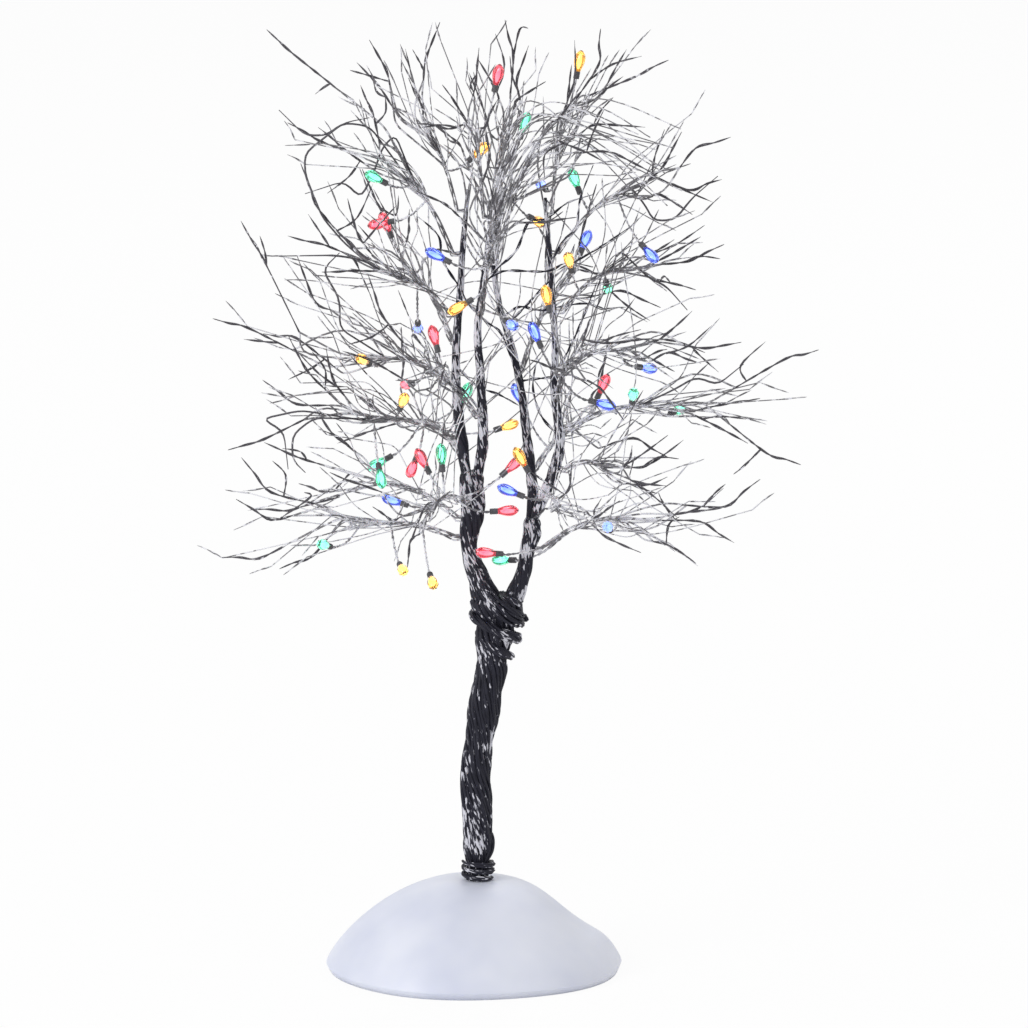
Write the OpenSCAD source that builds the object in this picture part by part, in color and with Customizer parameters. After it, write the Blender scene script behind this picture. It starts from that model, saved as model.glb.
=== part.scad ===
// Lighted miniature tree: wire boughs with coloured lamps on a moulded snow mound that holds two AAA cells.
// Millimetres. The origin is on the foot, under the trunk. X runs right, Y away from the front, Z up.

/* [Snow mound] */
// Radius of the mound's outline
mound_r = 34.2; // [33.6:0.2:40]
// Height of the mound where the trunk stands
mound_h = 21.3; // [19:0.1:26]
// Height at which the mound is widest
rim_h = 1.6; // [1:0.1:2.4]
// Wall of the shell
mound_wall = 1.8; // [1.4:0.1:2.2]
// How far the mound's middle lies left of the trunk
mound_shift = 0.8; // [0:0.1:1.2]
// Rise of the second drift on the right
drift_rise = 1.6; // [0:0.1:2.4]
// Depth of the dip between the drifts
dip_depth = 3.6; // [0:0.1:4]

/* [Trunk socket] */
// Diameter of the trunk's peg
peg_d = 5.2; // [4.4:0.1:5.4]
// Room for the leads between the cells and the socket
lead_room = 1.6; // [1.6:0.1:3]
// Floor of the socket
socket_floor = 0.8; // [0.6:0.1:0.9]
// Wall of the socket
socket_wall = 1.8; // [1.2:0.1:2.4]
// Hole in the socket's floor for the leads
lead_hole_d = 3; // [2.4:0.1:3.6]

/* [Base plate] */
// Width of the mound's rim round the plate
rim_w = 4.2; // [3.8:0.1:4.4]
// Thickness of the plate
plate_t = 1.4; // [1.2:0.1:1.6]
// Height of the plate's underside above the foot
plate_recess = 0.4; // [0.3:0.1:0.6]
// Width of the ledge that the plate seats on
ledge_w = 1; // [0.6:0.1:1]
// Distance of the base screws from the middle
screw_ring_r = 25; // [24.6:0.1:25.4]
// Diameter of a screw's shank
screw_d = 1.6; // [1.4:0.1:1.8]
// Diameter of a screw's head
screw_head_d = 3.4; // [3:0.1:3.6]
// Thickness of a screw's head
screw_head_t = 0.7; // [0.5:0.1:0.8]
// Length of a base screw's shank
screw_l = 6; // [4:0.5:7]
// Diameter of a screw boss
boss_d = 4.8; // [4:0.1:5]

/* [Battery bay] */
// Diameter of a cell
cell_d = 10.5; // [10.2:0.1:10.6]
// Length of a cell with its button
cell_l = 44.5; // [43.5:0.1:44.6]
// Diameter of a cell's button
button_d = 3.8; // [3:0.1:4]
// Height of a cell's button
button_h = 0.8; // [0.6:0.1:1.2]
// Thickness of the bay's walls
bay_wall = 1.2; // [0.9:0.1:1.3]
// Height of the bay's side walls above the plate
bay_side_h = 3.2; // [2:0.1:3.4]
// Height of the bay's end walls above the plate
bay_end_h = 5.8; // [5:0.1:6]
// Thickness of the contact plates
contact_t = 0.4; // [0.3:0.1:0.5]
// Width of a single contact plate
contact_w = 5.6; // [4.6:0.1:5.8]
// Length of a contact spring, pressed
spring_l = 3; // [2.6:0.1:3.1]
// Wire of a contact spring
spring_wire_d = 0.5; // [0.4:0.05:0.55]
// Curls of a contact spring
spring_curls = 2.5; // [1.5:0.5:2.5]
// Thickness of the battery door
door_t = 0.9; // [0.8:0.1:1]
// Width of the ledge round the door
door_ledge = 0.8; // [0.5:0.1:0.9]
// Width of the door's hook
hook_w = 4; // [3:0.1:4.4]
// Reach of the door's hook past the edge
hook_reach = 1.4; // [1:0.1:1.6]
// Travel of the switch knob
switch_travel = 2; // [1.6:0.1:2.2]

/* [Trunk and limbs] */
// Diameter of the trunk at half its height
trunk_d = 7; // [6.4:0.1:7.6]
// Diameter of the leaders above the fork
leader_d = 4.2; // [3.8:0.1:4.4]
// Diameter of the upright stems
stem_d = 3; // [2.6:0.1:3.1]
// Depth of the grooves between the strands, as a share of the radius
strand_groove = 0.16; // [0.04:0.01:0.2]
// Wire of the winding at the foot
foot_wire_d = 1.1; // [0.8:0.1:1.2]
// Wire of the winding at the fork
fork_wire_d = 2.2; // [1.8:0.1:2.4]

/* [Boughs] */
// Diameter of a bough where it leaves its limb
bough_d = 2; // [1.6:0.1:2.2]
// Diameter of a twig's wire
twig_d = 0.5; // [0.4:0.05:0.6]
// Diameter of a twig's twisted tip
tip_d = 1.1; // [0.8:0.1:1.3]
// Length of a twig's twisted tip
tip_l = 8; // [6:0.5:10]

/* [Lamps] */
// Diameter of a lamp's lens
lens_d = 2.4; // [2:0.1:2.6]
// Length of a lamp's lens
lens_l = 5; // [4:0.1:5.4]
// Diameter of a lamp's sleeve
sleeve_d = 1.6; // [1.4:0.1:1.8]
// Length of a lamp's sleeve
sleeve_l = 1.8; // [1.4:0.1:2.2]
// Diameter of the stalk that carries a lamp
stalk_d = 0.7; // [0.6:0.1:0.9]

/* [Hidden] */
$fn = 48;
fit = 0.1;
clear = 0.2;
eps = 0.01;

// Colours
snow = "#dfe3ef";
bark = "#2f2a33";
brass = "#c9a24b";
steel = "#b9bcc2";
black = "#1d1d20";
red = "#8e1f1f";
board_green = "#1f6b3c";
cell_grey = "#3b3f4a";
resistor_tan = "#b08f63";
lens_colours = ["#c2122d", "#119a50", "#1d33d6", "#e8a51e"];

// The plate fills the mound inside its rim
plate_r = mound_r - rim_w;

// Heights in the base, from the foot up: the socket stands over the cells and the leads
plate_top = plate_recess + plate_t;
door_top = plate_recess + door_t;
cell_z = door_top + fit + cell_d / 2;
cell_top = cell_z + cell_d / 2;
socket_z = cell_top + lead_room + socket_floor;
socket_depth = mound_h - socket_z;

// The battery bay runs along Y
cell_x = cell_d / 2 + clear;
bay_w = 4 * cell_x;
bay_l = cell_l + spring_l + 2 * contact_t;
bay_end = bay_l / 2;
pocket_w = bay_w + 2 * door_ledge;
pocket_end = bay_end + door_ledge;
contact_foot = 0.8;
contact_low = plate_top + contact_foot;
contact_high = plate_top + bay_end_h;
contact_in = hook_w / 2 + 3 * clear;
contact_out = contact_in + contact_w;
tongue_wall = 0.6;
tongue_tuck = 0.5;
tongue_r = screw_head_d / 2 + tongue_wall;
door_screw_y = tongue_tuck - pocket_end - tongue_r;
tower_d = 3.8;
tower_h = 3;
tower_bore_d = screw_d + 3 * clear;

// The switch, its board and their posts stand left of the bay
switch_x = -19.5;
switch_size = [4.4, 8.6, 4.4];
knob_stem = [1.5, 1.8];
knob_flange = [2.5, 4, 1.1];
board_size = [11, 16, 1];
board_z = plate_top + switch_size.z;
board_top = board_z + board_size.z;
post_d = 2.2;
post_inset = 1.3;
resistor_d = 1.8;
resistor_l = 3.6;
resistor_at = [2, -1.5];

// Strands, sides and rings of the sweeps
trunk_strands = 6;
limb_strands = 4;
points_per_strand = 3;
strand_turn = -8;
coil_rings = 24;
curl_rings = 8;
wire_sides = 6;
lead_sides = 8;
lead_d = 0.8;
stalk_sides = 4;
twig_sides = 3;

// Small vector helpers
function mix(a, b, f) = a + (b - a) * f;
function unit(v) = v / norm(v);
function place(p) = [p.x, p.y, p.z];
function chance(i, j) = let (v = sin(i * 127.1 + j * 311.7) * 43758.5453) v - floor(v);
function curve(a, b, c, f) = mix(mix(a, b, f), mix(b, c, f), f);

// A point at a given height on a rising line
function at_height(line, z, i = 0) =
    i >= len(line) - 2 || line[i + 1].z >= z
    ? mix(line[i], line[i + 1], (z - line[i].z) / (line[i + 1].z - line[i].z))
    : at_height(line, z, i + 1);

// A smooth line through points of any dimension, with its first and last stretches left straight
function spline_point(a, b, c, d, f) =
    (2 * b + (c - a) * f + (2 * a - 5 * b + 4 * c - d) * f * f + (3 * b - a - 3 * c + d) * f * f * f) / 2;
function smooth(points, steps) =
    let (last = len(points) - 1)
    [points[0],
     for (i = [1 : last - 2], s = [0 : steps - 1])
        let (before = points[max(i - 1, 1)], after = points[min(i + 2, last - 1)])
        spline_point(before, points[i], points[i + 1], after, s / steps),
     points[last - 1],
     points[last]];

// Sweep of a grooved, twisted section along a line of [x, y, z, radius]
function directions(line) =
    let (last = len(line) - 1)
    [for (i = [0 : last]) unit(place(line[min(i + 1, last)]) - place(line[max(i - 1, 0)]))];
function square_to(v, d) = unit(v - d * (v * d));
function first_side(d) = square_to(abs(d.z) < 0.9 ? [0, 0, 1] : [1, 0, 0], d);
function sides_along(ds) =
    [for (i = 0, s = first_side(ds[0]);
        i < len(ds);
        i = i + 1, s = square_to(s, ds[min(i, len(ds) - 1)])) s];
function section(p, d, side, count, strands, groove, turn) =
    let (over = cross(d, side))
    [for (k = [0 : count - 1])
        let (a = 360 * k / count, r = p[3] * (1 - groove * (1 - cos(strands * a)) / 2))
        place(p) + r * (cos(a + turn) * side + sin(a + turn) * over)];
function tube_faces(rings, n) =
    concat(
        [for (k = [1 : n - 2]) [0, k, k + 1]],
        [for (i = [0 : rings - 2], k = [0 : n - 1], half = [0, 1])
            let (a = i * n + k, b = i * n + (k + 1) % n, c = b + n, d = a + n)
            half == 0 ? [a, d, c] : [a, c, b]],
        [for (k = [1 : n - 2]) let (e = (rings - 1) * n) [e, e + k + 1, e + k]]);

module tube(line, count, strands = 0, groove = 0, turn = 0) {
    ds = directions(line);
    ss = sides_along(ds);
    rings = [for (i = [0 : len(line) - 1]) section(line[i], ds[i], ss[i], count, strands, groove, turn * i)];
    polyhedron([for (ring = rings) each ring], tube_faces(len(line), count));
}

// The snow mound's surface: a flat top, a dome, a rolled rim, one drift and one dip
mound_flat = 0.18;
mound_rings = [0, 0.12, 0.24, 0.36, 0.48, 0.6, 0.71, 0.81, 0.9, 0.96, 1];
mound_sides = 36;
rim_tuck = 0.96;
foot_cut = 1;
drift_at = [30, -4];
drift_size = [4, 10];
dip_at = [21, 5];
dip_size = [8, 18];
function bell(p, at, size) = exp(-pow((p.x - at.x) / size.x, 2) - pow((p.y - at.y) / size.y, 2));
// Waves of the outline: count, turn and height as a share of the radius
outline_waves = [[2, 0, 0.012], [3, 40, 0.01], [5, 180, 0.008]];
shares_of_one = [for (w = outline_waves) 1];
function outline_r(a) = mound_r * (1 + [for (w = outline_waves) w[2] * cos(w[0] * a + w[1])] * shares_of_one);
dome_powers = [1.7, 0.8];
function dome(s) = pow(1 - pow(s, dome_powers[0]), dome_powers[1]);
function mound_point(s, a) =
    let (
        r = outline_r(a) * mix(mound_flat, 1, s),
        p = [r * cos(a) - mound_shift, r * sin(a)],
        z = rim_h + (mound_h - rim_h) * dome(s),
        waves = drift_rise * bell(p, drift_at, drift_size) - dip_depth * bell(p, dip_at, dip_size))
    [p.x, p.y, z + s * waves];

module mound_solid() {
    angles = [for (k = [0 : mound_sides - 1]) 360 * k / mound_sides];
    foot = [for (a = angles)
        let (r = outline_r(a) * rim_tuck) [r * cos(a) - mound_shift, r * sin(a), -foot_cut]];
    last = len(mound_rings) - 1;
    rows = [foot, for (k = [0 : last]) [for (a = angles) mound_point(mound_rings[last - k], a)]];
    polyhedron([for (row = rows) each row], tube_faces(len(rows), mound_sides));
}

// Room inside the shell: a dome, and pockets for the cells, springs, bay, board and screw tower
cavity_r = plate_r - ledge_w + fit;
ceiling_inset = 4;
ceiling_r = mound_r - ceiling_inset;
ceiling_steps = 8;
eave = 1;
function ceiling(r) = (mound_h - mound_wall) * dome(min(r / ceiling_r, 1));
spring_wide = 3.6;
spring_narrow = 1.8;
module along_cells(d, l) {
    for (side = [-1, 1])
        translate([side * cell_x, 0, cell_z]) rotate([90, 0, 0]) cylinder(d = d, h = l, center = true);
}
module room(size, at) {
    translate([at.x - size.x / 2, at.y - size.y / 2, plate_top]) cube(size);
}
module cavity() {
    rotate_extrude()
        polygon(concat(
            [[0, plate_top], [cavity_r, plate_top]],
            [for (k = [ceiling_steps : -1 : 0])
                let (r = cavity_r * k / ceiling_steps) [r, max(ceiling(r), plate_top + eave)]]));
    along_cells(cell_d + 2 * clear, bay_l - 2 * (contact_t + button_h - clear));
    along_cells(2 * spring_wide + spring_wire_d + 2 * clear, bay_l);
    room([bay_w + 2 * bay_wall + 4 * fit, bay_l + 2 * bay_wall + 4 * fit, bay_end_h + clear], [0, 0]);
    board_room = switch_size.z + board_size.z + resistor_d + clear;
    room([board_size.x + 6 * clear, board_size.y + 6 * clear, board_room], [switch_x, 0]);
    translate([0, door_screw_y, plate_top]) cylinder(d = tower_d + 4 * clear, h = tower_h + clear);
}
screw_angles = [30, 150, 210, 330];
module at_base_screws() {
    for (a = screw_angles) rotate(a) translate([screw_ring_r, 0, 0]) children();
}
boss_top = ceiling(screw_ring_r) + eave;

module snow_mound() color(snow) difference() {
    union() {
        difference() {
            mound_solid();
            cavity();
        }
        translate([0, 0, socket_z - socket_floor])
            cylinder(d = peg_d + 2 * (fit + socket_wall), h = socket_depth + socket_floor - mound_wall / 2);
        at_base_screws() translate([0, 0, plate_top]) cylinder(d = boss_d, h = boss_top - plate_top);
    }
    translate([0, 0, -foot_cut]) cube([4 * mound_r, 4 * mound_r, 2 * foot_cut], center = true);
    cylinder(r = plate_r + fit, h = plate_top);
    translate([0, 0, socket_z]) cylinder(d = peg_d + 2 * fit, h = socket_depth + 1);
    translate([0, 0, socket_z - socket_floor - 1]) cylinder(d = lead_hole_d, h = socket_floor + 2);
    at_base_screws() cylinder(d = screw_d + fit, h = plate_recess + screw_head_t + screw_l + clear);
}

// Round-cornered plate, lying on z = 0 and centred on the origin
module rounded_plate(size, r, h) {
    linear_extrude(h) union() {
        square([size.x - 2 * r, size.y], center = true);
        square([size.x, size.y - 2 * r], center = true);
        for (x = [-1, 1], y = [-1, 1])
            translate([x * (size.x / 2 - r), y * (size.y / 2 - r)]) circle(r);
    }
}

// The door's outline, a plate with a round screw tongue at the front
door_corner_r = 1.2;
module door_outline(gap, h) {
    rounded_plate([pocket_w - 2 * gap, 2 * (pocket_end - gap)], door_corner_r, h);
    translate([0, door_screw_y, 0]) cylinder(r = tongue_r - gap, h = h);
    translate([gap - tongue_r, door_screw_y, 0]) cube([2 * (tongue_r - gap), -door_screw_y - bay_end + 1, h]);
}

// A wall of the bay, from the door's ledge up
module bay_wall_block(size, at, top) {
    translate([at.x - size.x / 2, at.y - size.y / 2, door_top]) cube([size.x, size.y, top - door_top]);
}
module bay_walls() {
    side_top = plate_top + bay_side_h;
    for (side = [-1, 1]) {
        bay_wall_block([bay_wall, bay_l + 2 * bay_wall], [side * (bay_w + bay_wall) / 2, 0], side_top);
        bay_wall_block([bay_w, bay_wall], [0, side * (bay_end + bay_wall / 2)], side_top);
        bay_wall_block([bay_w - 2 * bay_wall, bay_wall], [0, side * (bay_end + bay_wall / 2)], contact_high);
    }
}
post_x = [switch_x - board_size.x / 2 + post_inset, switch_x + board_size.x / 2 - post_inset];
post_y = board_size.y / 2 - post_inset;
hook_t = 0.8;
hook_room = clear + hook_t + 4 * clear;

module base_plate() color(snow) difference() {
    union() {
        difference() {
            translate([0, 0, plate_recess]) cylinder(r = plate_r, h = plate_t);
            translate([0, 0, plate_recess - 1]) door_outline(0, door_t + 1);
            cube([bay_w, bay_l, 4 * plate_top], center = true);
        }
        bay_walls();
        for (x = post_x, y = [-post_y, post_y])
            translate([x, y, plate_top - fit]) cylinder(d = post_d, h = board_z - plate_top + fit);
        translate([0, door_screw_y, door_top]) cylinder(d = tower_d, h = plate_t - door_t + tower_h);
    }
    translate([0, door_screw_y, plate_recess]) cylinder(d = tower_bore_d, h = plate_t + tower_h + 1);
    translate([-hook_w / 2 - clear, bay_end - 1, plate_recess])
        cube([hook_w + 2 * clear, 1 + door_ledge, plate_t + hook_room]);
    translate([-hook_w / 2 - clear, bay_end - 1, plate_top])
        cube([hook_w + 2 * clear, bay_wall + 2, hook_room]);
    at_base_screws() {
        cylinder(d = screw_d + 2 * fit, h = plate_top + 1);
        cylinder(d = screw_head_d + 2 * clear, h = plate_recess + screw_head_t);
    }
    translate([switch_x, 0, plate_top])
        cube([knob_stem.x + 2 * clear, knob_stem.y + switch_travel + 2 * clear, 4 * plate_t], center = true);
}

// A cross-head screw that points up, with its head's seat at a height
cross_size = [0.6 * screw_head_d, 0.5, 0.8];
module screw(head_z, shank_l) {
    difference() {
        translate([0, 0, head_z - screw_head_t]) cylinder(d = screw_head_d, h = screw_head_t);
        for (turn = [0, 90])
            rotate(turn) translate([0, 0, head_z - screw_head_t]) cube(cross_size, center = true);
    }
    translate([0, 0, head_z]) cylinder(d = screw_d, h = shank_l);
}
module base_screws() color(steel) at_base_screws() screw(plate_recess + screw_head_t, screw_l);

// The door hooks over the plate at the rear, and swings down from there
door_y = pocket_end - clear;
hook_leg = 1;
grip_count = 4;
grip_pitch = 1.6;
grip_w = 0.6;
module battery_door() color(snow) difference() {
    union() {
        translate([0, 0, plate_recess]) door_outline(clear, door_t);
        translate([-hook_w / 2, door_y - hook_leg, plate_recess])
            cube([hook_w, hook_leg, plate_t + clear + hook_t]);
        translate([-hook_w / 2, door_y - hook_leg, plate_top + clear])
            cube([hook_w, hook_leg + hook_reach, hook_t]);
    }
    translate([0, door_screw_y, 0]) cylinder(d = screw_d + 3 * fit, h = 2 * plate_top);
    translate([0, door_screw_y, 0]) cylinder(d = screw_head_d + clear, h = plate_recess + door_t / 2);
    for (k = [1 : grip_count])
        translate([0, -bay_end + grip_pitch * k + 1, plate_recess])
            cube([pocket_w / 2, grip_w, grip_w], center = true);
}
module door_screw() color(steel)
    translate([0, door_screw_y, 0])
        screw(plate_recess + door_t / 2, plate_t - door_t / 2 + tower_h - 2 * clear);

// Cells, each with its button towards its own end of the bay
module cell(side) {
    translate([side * cell_x, side * (bay_end - contact_t), cell_z])
        rotate([side * 90, 0, 0]) {
            cylinder(d = button_d, h = button_h);
            translate([0, 0, button_h]) cylinder(d = cell_d, h = cell_l - button_h);
        }
}
module battery_cell_left() color(cell_grey) cell(-1);
module battery_cell_right() color(cell_grey) cell(1);

module contact_plate(x0, x1, end) {
    translate([x0, end * (bay_end - contact_t / 2) - contact_t / 2, contact_low])
        cube([x1 - x0, contact_t, contact_high - contact_low]);
}
module contact_bridge() color(brass) contact_plate(-contact_out, contact_out, -1);
module contact_negative() color(brass) contact_plate(-contact_out, -contact_in, 1);
module contact_positive() color(brass) contact_plate(contact_in, contact_out, 1);

// Conical springs, wide on the contact and narrow on the cell
function spring_line(x, end) =
    let (n = curl_rings * spring_curls)
    [for (k = [0 : n])
        let (
            f = k / n,
            a = 360 * k / curl_rings,
            r = mix(spring_wide, spring_narrow, f),
            from_contact = mix(spring_wire_d / 2, spring_l - spring_wire_d / 2, f))
        [x + r * cos(a), end * (bay_end - contact_t - from_contact), cell_z + r * sin(a), spring_wire_d / 2]];
module contact_spring_front() color(steel) tube(spring_line(cell_x, -1), wire_sides);
module contact_spring_rear() color(steel) tube(spring_line(-cell_x, 1), wire_sides);

// Switch: its body caps the knob's flange, and its knob reaches down through the plate
flange_room = knob_flange.z + 2 * clear;
module switch_body() color(black) difference() {
    translate([switch_x, 0, plate_top + switch_size.z / 2]) cube(switch_size, center = true);
    flange_way = knob_flange.y + switch_travel + 2 * clear;
    translate([switch_x, 0, plate_top])
        cube([knob_flange.x + 2 * clear, flange_way, 2 * flange_room], center = true);
}
knob_foot = 0.2;
module switch_knob() color(black) translate([switch_x, switch_travel / 2, 0]) {
    translate([0, 0, plate_top + fit + knob_flange.z / 2]) cube(knob_flange, center = true);
    translate([-knob_stem.x / 2, -knob_stem.y / 2, knob_foot])
        cube([knob_stem.x, knob_stem.y, plate_top + 2 * fit - knob_foot]);
}
board_corner_r = 0.8;
module circuit_board() color(board_green)
    translate([switch_x, 0, board_z])
        rounded_plate([board_size.x, board_size.y], board_corner_r, board_size.z);
resistor_waist = 0.8;
resistor_cap = 0.3;
resistor_cap_at = 0.4;
module resistor() color(resistor_tan)
    translate([switch_x + resistor_at.x, resistor_at.y, board_top + resistor_d / 2])
        rotate([90, 0, 0]) {
            cylinder(d = resistor_d * resistor_waist, h = resistor_l, center = true);
            for (end = [-1, 1])
                translate([0, 0, end * resistor_l * resistor_cap_at])
                    cylinder(d = resistor_d, h = resistor_l * resistor_cap, center = true);
        }

// Leads: from the contacts to the board and the trunk, and from the board to the trunk
lead_steps = 2;
lead_x = switch_x + board_size.x / 2 - 1;
over_cells = cell_top + lead_d;
tab_y = bay_end - contact_t - fit;
tab_z = contact_high - 1.4;
lead_turn_x = bay_w / 2 + 0.6;
lead_side_x = bay_w / 2 + 1;
hole_z = socket_z - socket_floor - lead_d;
function lead(points) = [for (p = smooth(points, lead_steps)) [p.x, p.y, p.z, lead_d / 2]];
lead_to_board = lead([
    [-contact_out, tab_y, tab_z], [-lead_turn_x, tab_y, tab_z], [-lead_side_x, 20, 7],
    [-13.2, 14, 8.2], [lead_x, 8, 8.8], [lead_x, 6, board_top + 1], [lead_x, 6, board_top]]);
lead_from_board = lead([
    [lead_x, -5, board_top], [lead_x, -5, board_top + 1.2], [-13, -3.4, over_cells - 1.2],
    [-8.5, -2, over_cells], [-3, -0.7, over_cells], [-0.6, 0, hole_z], [-0.6, 0, socket_z]]);
lead_to_trunk = lead([
    [contact_out, tab_y, tab_z], [lead_turn_x, tab_y, tab_z], [lead_side_x, 20, 7],
    [lead_side_x, 14, 9.2], [9.7, 8.5, over_cells - 1], [5.5, 4, over_cells], [2.2, 1, over_cells],
    [0.6, 0, hole_z], [0.6, 0, socket_z]]);
module leads_negative() color(black) {
    tube(lead_to_board, lead_sides);
    tube(lead_from_board, lead_sides);
}
module lead_positive() color(red) tube(lead_to_trunk, lead_sides);

// Tree lines: [x, y, height above the mound, thickness as a share of the part's own diameter]
trunk_steps = 2;
limb_steps = 2;
peg_share = peg_d / trunk_d;
trunk_line = smooth([
    [0, 0, -socket_depth, peg_share], [0, 0, 0, peg_share], [0, 0, 4.5, 0.8], [0.2, 0, 8, 0.98],
    [0.1, 0, 14, 0.96], [-0.1, 0, 20, 1], [-0.2, 0, 27, 0.97], [0.6, 0, 34, 0.94], [1.4, 0, 40, 1.08],
    [2.2, 0, 45, 1.04], [3.3, 0, 50, 0.94], [3.5, 0, 52.5, 0.74], [3.6, 0, 55, 0.64],
    [4, 0, 58.5, 0.84], [4.5, 0, 62, 1.1], [4.7, 0, 65, 1.66], [4.7, 0, 66.5, 1.77]], trunk_steps);
left_leader_line = smooth([
    [2, 0, 66.5, 1.6], [2, 0, 67.5, 1.6], [0.7, 0, 71.5, 1.3], [-0.5, 0, 74.5, 1.12],
    [-1.6, 0, 78.5, 0.95], [-1.9, 0, 82, 1.02], [-1, 0, 88, 1.35], [-1.3, 0, 93, 1.4],
    [-1.3, 0, 96, 1.4]], limb_steps);
right_leader_line = smooth([
    [8.5, 0, 66.5, 1.1], [8.5, 0, 67.5, 1.1], [9.8, 0, 70.5, 0.98], [11, 0, 74.5, 0.86],
    [11.8, 0, 79, 0.86], [12.8, 0.3, 83, 1.04], [12.8, 0.3, 85, 1.05]], limb_steps);
stem_left_line = smooth([
    [-2.7, 0.5, 96, 0.84], [-2.7, 0.5, 97.5, 0.84], [-3.5, 2.6, 104, 1.05], [-4.7, 4, 114, 0.96],
    [-4.9, 5, 126, 0.88], [-4, 6, 138, 0.78], [-3.3, 7, 150, 0.64], [-2.4, 8, 160, 0.46],
    [-2.2, 8.2, 163, 0.36]], limb_steps);
stem_centre_line = smooth([
    [0.2, -0.5, 96, 0.84], [0.2, -0.5, 97.5, 0.84], [1.4, -2.6, 106, 1], [0.8, -4, 121, 0.92],
    [0.2, -4, 133, 0.82], [2.2, -4, 149, 0.64], [3.3, -4, 160, 0.46], [3.5, -4, 163, 0.36]], limb_steps);
stem_inner_line = smooth([
    [12.3, 1.3, 85, 0.66], [12.3, 1.3, 86.5, 0.66], [13, 2.4, 92, 0.9], [12.4, 3.4, 98, 0.9],
    [11.6, 4, 105, 0.86], [10.4, 5, 115, 0.8], [8.4, 6, 125, 0.74], [5.4, 6.4, 135, 0.66],
    [3.6, 6.4, 146, 0.56], [3.2, 6.4, 155, 0.44], [3.2, 6.4, 158, 0.36]], 1);
stem_right_line = smooth([
    [13.3, -0.75, 85, 0.66], [13.3, -0.75, 86.5, 0.66], [15, -2.6, 91, 0.95], [18, -4, 99, 0.95],
    [19.3, -5, 106, 0.92], [18, -5, 118, 0.84], [18.2, -4, 128, 0.76], [17.7, -3, 137, 0.68],
    [16.7, -2, 152, 0.54], [16, -2, 160, 0.42], [15.9, -2, 163, 0.34]], 1);

function thick(line, d) = [for (p = line) [p.x, p.y, p.z, p[3] * d / 2]];
TRUNK = thick(trunk_line, trunk_d);
LEFT_LEADER = thick(left_leader_line, leader_d);
RIGHT_LEADER = thick(right_leader_line, leader_d);
STEM_LEFT = thick(stem_left_line, stem_d);
STEM_CENTRE = thick(stem_centre_line, stem_d);
STEM_INNER = thick(stem_inner_line, stem_d);
STEM_RIGHT = thick(stem_right_line, stem_d);

module on_mound() {
    translate([0, 0, mound_h]) children();
}
module limb(line) color(bark) on_mound()
    tube(line, limb_strands * points_per_strand, limb_strands, strand_groove, strand_turn);
module trunk() color(bark) on_mound()
    tube(TRUNK, trunk_strands * points_per_strand, trunk_strands, strand_groove, strand_turn);
module left_leader() limb(LEFT_LEADER);
module right_leader() limb(RIGHT_LEADER);
module stem_left() limb(STEM_LEFT);
module stem_centre() limb(STEM_CENTRE);
module stem_inner() limb(STEM_INNER);
module stem_right() limb(STEM_RIGHT);

// Windings round the trunk: one open tube that climbs it, lower and looser on the right by a tilt and a slack
function winding(low, high, loops, wire_d, tilt, slack) =
    let (n = coil_rings * loops)
    [for (k = [0 : n])
        let (
            a = 360 * k / coil_rings,
            z = mix(low, high, k / n) - tilt * cos(a),
            p = at_height(TRUNK, z),
            widest = max(p[3], at_height(TRUNK, z + wire_d / 2)[3]),
            r = widest + wire_d / 2 + clear + fit + slack * (1 + cos(a)) / 2)
        [p.x + r * cos(a), p.y - r * sin(a), z, wire_d / 2]];
foot_loops = 2.5;
foot_rise = 4;
foot_line = winding(foot_wire_d / 2, foot_wire_d / 2 + foot_rise, foot_loops, foot_wire_d, 0, 0);
fork_low = 55.2;
fork_rise = 8.8;
fork_loops = 2;
fork_tilt = 1.6;
fork_slack = 0.8;
fork_line = winding(fork_low, fork_low + fork_rise, fork_loops, fork_wire_d, fork_tilt, fork_slack);
module foot_winding() color(bark) on_mound() tube(foot_line, wire_sides);
module fork_winding() color(bark) on_mound() tube(fork_line, wire_sides);

// Least gap of a wound tube to itself, measured between points at least half a turn apart
function least_gap(line, half_turn, d) =
    min([for (i = [0 : len(line) - 1 - half_turn], j = [i + half_turn : 1 : len(line) - 1])
        norm(place(line[i]) - place(line[j]))]) - d;
echo(foot_winding_gap = least_gap(foot_line, coil_rings / 2, foot_wire_d));
echo(fork_winding_gap = least_gap(fork_line, coil_rings / 2, fork_wire_d));
echo(contact_spring_gap = least_gap(spring_line(0, 1), curl_rings / 2, spring_wire_d));

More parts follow.
